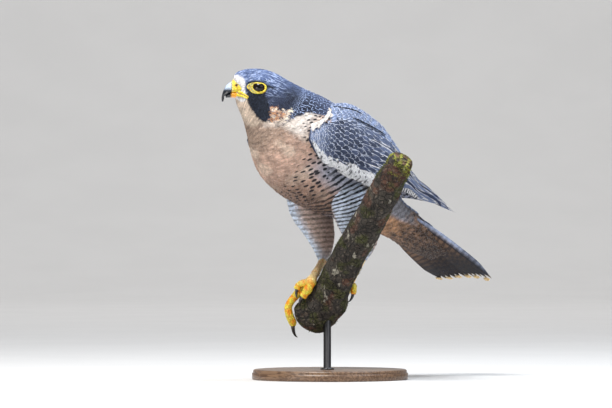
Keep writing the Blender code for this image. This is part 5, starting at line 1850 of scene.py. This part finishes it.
def shank_tubes(side_name):
    """The bare lower leg and the ball of the foot."""
    top, end = shank(side_name)
    ball = ball_centre(side_name)
    axis = unit(end - top)
    front = np.array([0.5, -0.85, 0.0])
    front = unit(front - axis * (front @ axis))
    path = top + np.outer(np.linspace(-0.06, 1.04, 60), end - top)
    radii = TARSUS_RADIUS * (1.0 - 0.12 * np.sin(math.pi * np.linspace(0, 1, 60))) + 0.45
    leg = scuted(path, radii, 30, np.tile(front, (60, 1)), 2.3, 0.28)
    shares, sizes = (
        spline(np.array(keys)[:, None], np.linspace(0, 5, 40))[:, 0] for keys in (PAD_SHARES, PAD_SIZES)
    )
    path = end + np.outer(shares, ball - end)
    return [leg, scuted(path, TARSUS_RADIUS * sizes - 0.3, 30, np.tile(front, (40, 1)), 2.1, 0.35)]


def toes_and_claws(side_name, horn):
    """The toes as tubes. The claws are pieces of their own."""
    tubes = []
    share = np.linspace(0, 1, 64)
    pads = 1 + (0.08 * np.cos(share * TURN * 2.0 + 0.6) + 0.02)
    for toe, (steps, radius) in TOES[side_name].items():
        path, radii, outward = toe_path(side_name, steps, radius, len(share))
        shaped = radii * pads * np.where(share > 0.96, 1 - (share - 0.96) * 6, 1)
        tubes.append(scuted(path, shaped, 24, outward, 3.0, 0.75))
        inward = -branch_direction(math.radians(FOOT_BALLS[side_name][1] + steps[-1][1]))
        name = f"claw_{side_name}_{toe}"
        finish_piece(claw(name, path, radii[-1], inward, CLAW_LENGTHS[toe], horn), "claw_horn", name)
    return tubes


def melt(made, voxel):
    """Turns a piece made of crossing tubes into one closed skin, and returns its points."""
    merged = made.modifiers.new("merge", "REMESH")
    merged.mode = "VOXEL"
    merged.voxel_size = voxel * MM
    soften = made.modifiers.new("soften", "SMOOTH")
    soften.factor = 0.4
    soften.iterations = 1
    mesh = bpy.data.meshes.new_from_object(made.evaluated_get(bpy.context.evaluated_depsgraph_get()))
    made.modifiers.clear()
    made.data = mesh
    mesh.shade_smooth()
    points = np.empty(len(mesh.vertices) * 3, np.float32)
    mesh.vertices.foreach_get("co", points)
    return points.reshape(-1, 3) / MM


def foot(side_name, skin, horn):
    """A lower leg and foot as one skin, pale at the top and yellow to orange below, with its claws."""
    points, faces, start = [], [], 0
    for rings in shank_tubes(side_name) + toes_and_claws(side_name, horn):
        faces += [tuple(v + start for v in face) for face in ring_faces(*rings.shape[:2])]
        points.append(rings.reshape(-1, 3))
        start += len(points[-1])
    made = plain_object(f"foot_skin_{side_name}", np.vstack(points), faces, skin)
    points = melt(made, FOOT_VOXEL)
    top = shank(side_name)[0]
    low = smooth(top[2] - 14, top[2] - 30, points[:, 2])
    orange = low * smooth(-0.4, 1.2, ripple(points, 9.0, 13))
    tint = painted(SHANK_YELLOW, (YELLOW, low), (ORANGE, orange))
    store_points(made.data, {"tint": tint}, {"OFBake": branch_unwrap(points, 0.2)})
    made.data.materials.clear()
    made.data.materials.append(skin)
    finish_piece(made, "yellow_skin", f"tarsus_{side_name}", f"foot_{side_name}")


# Perch and stand.


# Colours of the bark, its patches and its cut ends.
BARK = (0.052, 0.044, 0.036)
BARK_RUST = (0.13, 0.052, 0.030)
BARK_GREEN = (0.075, 0.080, 0.022)
BARK_PALE = (0.17, 0.14, 0.115)
CUT_WOOD = (0.20, 0.115, 0.062)
CUT_DARK = (0.05, 0.04, 0.03)
CUT_MOSS = (0.46, 0.48, 0.07)
CUT_RINGS = 12


def cut_end(rings, upper):
    """Rings of points across an end of the branch, from its rim to its middle, with tints."""
    rim = rings[-1 if upper else 0]
    shrink = np.linspace(0.92, 0.06, CUT_RINGS)
    centre = rim.mean(0)
    points = (centre + (rim[None] - centre) * shrink[:, None, None]).reshape(-1, 3)
    rough = 0.5 * ripple(points, 4.0, 57 + upper) + 0.35 * np.sin(np.repeat(shrink, len(rim)) * 60)
    points = points + np.outer(rough * 0.7 - 0.4, BRANCH_AXIS * (1 if upper else -1))
    tint = painted(
        CUT_WOOD,
        (CUT_DARK, smooth(-0.4, 0.9, ripple(points, 7, 61))),
        (CUT_MOSS, 0.9 * smooth(-0.3, 0.6, ripple(points, 9, 63)) * upper),
    )
    return points, tint


def branch(bark, moss):
    """The cut branch, with cracked bark in rust and green patches, rough ends and moss."""
    steps, sides = 260, 150
    s, turn = np.linspace(0, BRANCH_LENGTH, steps), np.arange(sides) * TURN / sides
    ss, tt = (grid.ravel() for grid in np.meshgrid(s, turn, indexing="ij"))
    base = branch_point(ss, tt, 0.0)
    stretched = base - np.outer(base @ BRANCH_AXIS, BRANCH_AXIS) * 0.62
    relief = 0.55 * np.abs(ripple(stretched, 7.0, 51)) + 0.35 * np.abs(ripple(stretched, 3.0, 52))
    relief += 0.25 * ripple(base, 16.0, 53) + 0.5 * smooth(90, 20, ss) * np.abs(ripple(stretched, 10.0, 58))
    rounding = 1.5 * smooth(4.0, 0.0, np.minimum(ss, BRANCH_LENGTH - ss))
    points = branch_point(ss, tt, 0.25 - relief - rounding)
    green = smooth(0.1, 1.1, ripple(base, 20.0, 54) + smooth(150, 20, ss) * 0.5 - 0.2)
    rust = smooth(0.5, 1.3, ripple(base, 24.0, 55) + 1.2 * smooth(150, 215, ss) - 0.3)
    tint = painted(
        BARK,
        (BARK_RUST, rust * 0.75),
        (BARK_GREEN, green * 0.75),
        (BARK_PALE, 0.7 * smooth(0.9, 1.5, ripple(base, 4.0, 56))),
    )
    rings = points.reshape(steps, sides, 3)
    faces = grid_faces(steps, sides)
    points, tint = [points], [tint]
    start = steps * sides
    for upper in (0, 1):
        previous = (steps - 1) * sides * upper
        end_points, end_tint = cut_end(rings, upper)
        for here in range(start, start + CUT_RINGS * sides, sides):
            for j in range(sides):
                n = (j + 1) % sides
                faces.append((previous + j, previous + n, here + n, here + j))
            previous = here
        start += CUT_RINGS * sides
        faces.append(tuple(range(start - sides, start)))
        points.append(end_points)
        tint.append(end_tint)
    points, tint = np.vstack(points), np.vstack(tint)
    uvs = {"OFBake": branch_unwrap(points, 0.05)}
    finish_piece(plain_object("branch_bark", points, faces, bark, {"tint": tint}, uvs), "bark", "branch")
    moss_tufts(rings, s, turn, green, moss)


# Blades of moss: how many, their half width, colours in the shade and at the cut end, and the corners of the
# small patch that each takes of the unwrap.
MOSS_BLADES = 5200
MOSS_HALF_WIDTH = 0.28
MOSS_DARK = (0.075, 0.085, 0.022)
MOSS_BRIGHT = (0.42, 0.44, 0.06)
MOSS_CORNERS = [(0, 0), (1, 0), (1, 0.5), (0, 0.5), (1, 1), (0, 1)]


def moss_tufts(rings, s, turn, green, material):
    """Short blades of moss in the damp patches of the bark and on its upper cut end."""
    chance = np.random.default_rng(71)
    count = MOSS_BLADES
    flat = rings.reshape(-1, 3)
    centre = np.repeat(rings.mean(1), len(turn), axis=0)
    at_end = np.repeat(smooth(222, 250, s), len(turn))
    weight = green**2 + 1.6 * (at_end * smooth(0.0, 0.9, ripple(flat, 9.0, 64)))
    roots = chance.choice(len(flat), count, p=weight / weight.sum())
    out = unit(flat[roots] - centre[roots])
    lean = unit(out + chance.normal(0, 0.45, (count, 3)))
    aside = unit(np.cross(lean, chance.normal(size=(count, 3)))) * MOSS_HALF_WIDTH
    up = lean * chance.uniform(0.9, 2.0, count)[:, None]
    base = flat[roots] + chance.normal(0, 0.5, (count, 3)) - out * 0.3
    levels = [(0.0, 1.0), (0.55, 0.9), (1.0, 0.06 / MOSS_HALF_WIDTH)]
    low, middle, tip = (
        (base + up * rise - aside * wide, base + up * rise + aside * wide) for rise, wide in levels
    )
    points = np.stack([*low, *middle[::-1], *tip[::-1]], 1).reshape(-1, 3)
    one = np.array([(0, 1, 2, 3), (3, 2, 4, 5)])
    quads = (one[None] + np.arange(count)[:, None, None] * 6).reshape(-1, 4)
    shade = chance.uniform(0.6, 1.3, count)[:, None]
    tint = np.repeat(blend(MOSS_DARK, MOSS_BRIGHT, at_end[roots]) * shade, 6, axis=0)
    corner = np.stack([roots % len(turn) / len(turn), roots // len(turn) / len(s)], -1) * BAKE_SPAN
    bake = (corner[:, None] + np.array(MOSS_CORNERS)[None] * BAKE_PATCH).reshape(-1, 2)
    finish_piece(quad_object("moss", points, quads, material, {"tint": tint}, {"OFBake": bake}), "bark")


def lathe(name, profile, centre, material, slot, node, sides=160):
    """A turned piece from a profile of radii and heights."""
    angles = np.arange(sides) * TURN / sides
    rings = []
    for radius, z in profile:
        x, y = centre[0] + radius * np.cos(angles), centre[1] + radius * np.sin(angles)
        rings.append(np.stack([x, y, z + 0 * angles], -1))
    return finish_piece(ringed_object(name, rings, material), slot, node)


# Rounding of the base's foot, the small step under its rim, and the rounding of the rim.
FOOT_ROUND = 1.6
RIM_STEP = 1.2
RIM_ROUND = 2.4


def stand(wood, metal):
    """The turned base and the rod with its collar."""
    r, h = BASE_RADIUS, BASE_THICKNESS
    foot_middle, rim_middle = r - FOOT_ROUND, r - RIM_STEP - RIM_ROUND
    profile = [(1.0, 0.0), (r - 8, 0.0), (foot_middle, 0.0)]
    for a in np.linspace(0.3, math.pi / 2, 6):
        profile.append((foot_middle + FOOT_ROUND * math.sin(a), FOOT_ROUND - FOOT_ROUND * math.cos(a)))
    profile += [(r, 4.0), (r, h - 4.4), (r - 1.0, h - 4.0)]
    profile += [(r - RIM_STEP, h - 3.6), (r - RIM_STEP, h - RIM_ROUND)]
    for a in np.linspace(0.2, math.pi / 2, 7):
        profile.append((rim_middle + RIM_ROUND * math.cos(a), h - RIM_ROUND + RIM_ROUND * math.sin(a)))
    profile += [(r - 12, h), (r - 40, h), (ROD_RADIUS + 6, h), (1.0, h)]
    lathe("base_turned", profile, (0.0, 0.0), wood, "stand_wood", "stand_base")
    rod = ROD_RADIUS
    profile = [
        (0.6, h - 1.0), (rod + 3.6, h - 1.0), (rod + 3.6, h + 1.2), (rod + 3.0, h + 1.8),
        (rod + 0.4, h + 2.1), (rod, h + 2.6), (rod, ROD_TOP - 1.0), (rod - 0.8, ROD_TOP), (0.6, ROD_TOP),
    ]
    lathe("rod_collared", profile, ROD_PLACE, metal, "stand_metal", "stand_rod", sides=64)


# The bird and its surroundings.


def bird():
    plumage = plumage_material("plumage")
    vanes = plumage_material("vanes", barbs=150.0)
    horn = tinted_material(
        "bill_horn", 0.30, 260.0, 0.25, 0.08, 0.0004, Coat_Weight=0.35, Coat_Roughness=0.15
    )
    talon = tinted_material(
        "talon_horn", 0.24, 300.0, 0.3, 0.10, 0.0003, Coat_Weight=0.5, Coat_Roughness=0.12
    )
    cornea = tinted_material(
        "eye", 0.06, 500.0, 0.35, 0.0, 0.0001, Specular_IOR_Level=0.3, Coat_Weight=0.3, Coat_Roughness=0.01
    )
    yellow = scaly_material("bare_yellow_skin")

    surface = body_surface()
    finish_piece(body_skin(surface, plumage), "slate_feathers", "head", "neck", "torso")
    for piece in body_feathers(surface, plumage):
        finish_piece(piece, "slate_feathers")
    for side_name, side in SIDES.items():
        coat, core = leg_feathers(side_name, plumage)
        finish_piece(coat, "pale_feathers")
        finish_piece(core, "pale_feathers", f"leg_{side_name}")
        feathers, core = wing_feathers(side_name, vanes)
        finish_piece(feathers, "slate_feathers", f"wing_{side_name}")
        finish_piece(core, "slate_feathers")
        finish_piece(eye(f"eyeball_{side_name}", side, cornea), "eye_dark", f"eye_{side_name}")
        finish_piece(lid(f"eye_ring_{side_name}", side, yellow), "yellow_skin")
        finish_piece(gape(side_name, side, yellow), "yellow_skin")
        foot(side_name, yellow, talon)
    finish_piece(tail_feathers(vanes), "slate_feathers", "tail")
    finish_piece(cere(yellow), "yellow_skin", "cere")
    upper, lower = bill_halves(horn)
    finish_piece(upper, "bill_horn", "bill_upper")
    finish_piece(lower, "bill_horn", "bill_lower")


# The view: the point in the picture's middle, the camera's direction and distance, its sensor, and the
# picture's width and scale at the bird.
TARGET = np.array([-18.2, -21.7, 206.9])
VIEW_AZIMUTH = 50.0
VIEW_DISTANCE = 6000.0
SENSOR = 36.0
PIXELS_ACROSS = 612
MM_PER_PIXEL = 1.18
VIEW_TURN = math.radians(VIEW_AZIMUTH)
VIEW_AWAY = np.array([-math.sin(VIEW_TURN), math.cos(VIEW_TURN), 0.0])
VIEW_ACROSS = np.array([math.cos(VIEW_TURN), math.sin(VIEW_TURN), 0.0])
# The floor, in metres: where it starts and bends up behind the bird, the bend's radius, the top and the half
# width of the backdrop.
FLOOR_START = -10.0
FLOOR_BEND = 5.0
BEND_RADIUS = 3.0
BACKDROP_TOP = 12.5
FLOOR_HALF_WIDTH = 12.0
# Points that lights aim at, and the lights: name, azimuth and elevation in degrees, distance and size in
# metres, power, colour and aim.
BIRD_MIDDLE = (0.0, 0.0, 0.22)
BELLY_MIDDLE = (-0.03, -0.04, 0.09)
BACKDROP_MIDDLE = tuple(VIEW_AWAY * 6.5 + UP)
LIGHTS = [
    ("key", 12, 62, 1.6, 0.8, 33.0, (1.0, 0.985, 0.96), BIRD_MIDDLE),
    ("fill", 85, 25, 2.2, 1.6, 7.0, (0.98, 0.97, 0.98), BIRD_MIDDLE),
    ("sky", 150, 64, 1.8, 1.2, 22.0, (0.80, 0.89, 1.0), BIRD_MIDDLE),
    ("wash", VIEW_AZIMUTH, 50, 5.0, 3.75, 190.0, (1.0, 1.0, 1.0), BACKDROP_MIDDLE),
    ("low", 2, 6, 1.4, 0.5, 3.5, (1.0, 0.97, 0.92), BELLY_MIDDLE),
]
ROOM_COLOUR = (0.84, 0.87, 0.92, 1)
ROOM_STRENGTH = 0.18


def camera():
    """A level camera at the photograph's angle, with a long lens."""
    data = bpy.data.cameras.new("camera")
    data.sensor_width = SENSOR
    data.lens = SENSOR * VIEW_DISTANCE / (PIXELS_ACROSS * MM_PER_PIXEL)
    data.clip_start = 0.1
    data.clip_end = 60.0
    made = linked("camera", data)
    made.location = (TARGET - VIEW_AWAY * VIEW_DISTANCE) * MM
    made.rotation_euler = (math.pi / 2, 0.0, VIEW_TURN)
    bpy.context.scene.camera = made


def floor():
    """A pale floor that curves up into a backdrop behind the bird."""
    material = stage_material("pale_floor", (0.74, 0.73, 0.72))
    profile = [(FLOOR_START, 0.0), (FLOOR_BEND, 0.0)]
    for a in np.linspace(0.1, math.pi / 2, 14):
        profile.append((FLOOR_BEND + BEND_RADIUS * math.sin(a), BEND_RADIUS - BEND_RADIUS * math.cos(a)))
    profile.append((FLOOR_BEND + BEND_RADIUS, BACKDROP_TOP))
    points = [
        (VIEW_AWAY * distance + VIEW_ACROSS * side + UP * height) * 1000
        for distance, height in profile for side in (-FLOOR_HALF_WIDTH, FLOOR_HALF_WIDTH)
    ]
    faces = grid_faces(len(profile), 2, close_columns=False)
    plain_object("floor_sweep", np.array(points), faces, material)


def light(name, azimuth, elevation, distance, size, power, colour, aim):
    """A soft area light round a point, by its direction and distance from there."""
    a, e = math.radians(azimuth), math.radians(elevation)
    way = Vector((math.sin(a) * math.cos(e), -math.cos(a) * math.cos(e), math.sin(e)))
    data = bpy.data.lights.new(name, "AREA")
    data.shape = "DISK"
    data.size = size
    data.energy = power
    data.color = colour
    made = linked(name, data)
    made.location = Vector(aim) + way * distance
    made.rotation_euler = way.to_track_quat("Z", "Y").to_euler()


def surroundings():
    """Camera, floor, lights and the soft light of the room."""
    bpy.context.scene.view_settings.view_transform = "Standard"
    camera()
    floor()
    for settings in LIGHTS:
        light(*settings)
    world = bpy.data.worlds.new("soft_room")
    world.use_nodes = True
    background = world.node_tree.nodes["Background"]
    background.inputs["Color"].default_value = ROOM_COLOUR
    background.inputs["Strength"].default_value = ROOM_STRENGTH
    bpy.context.scene.world = world


bird()
branch(bark_material("bark"), tinted_material("moss", 0.85, 400.0, 0.4, 0.2, 0.0003))
stand(wood_material("stand_wood"), metal_material("stand_metal"))
surroundings()
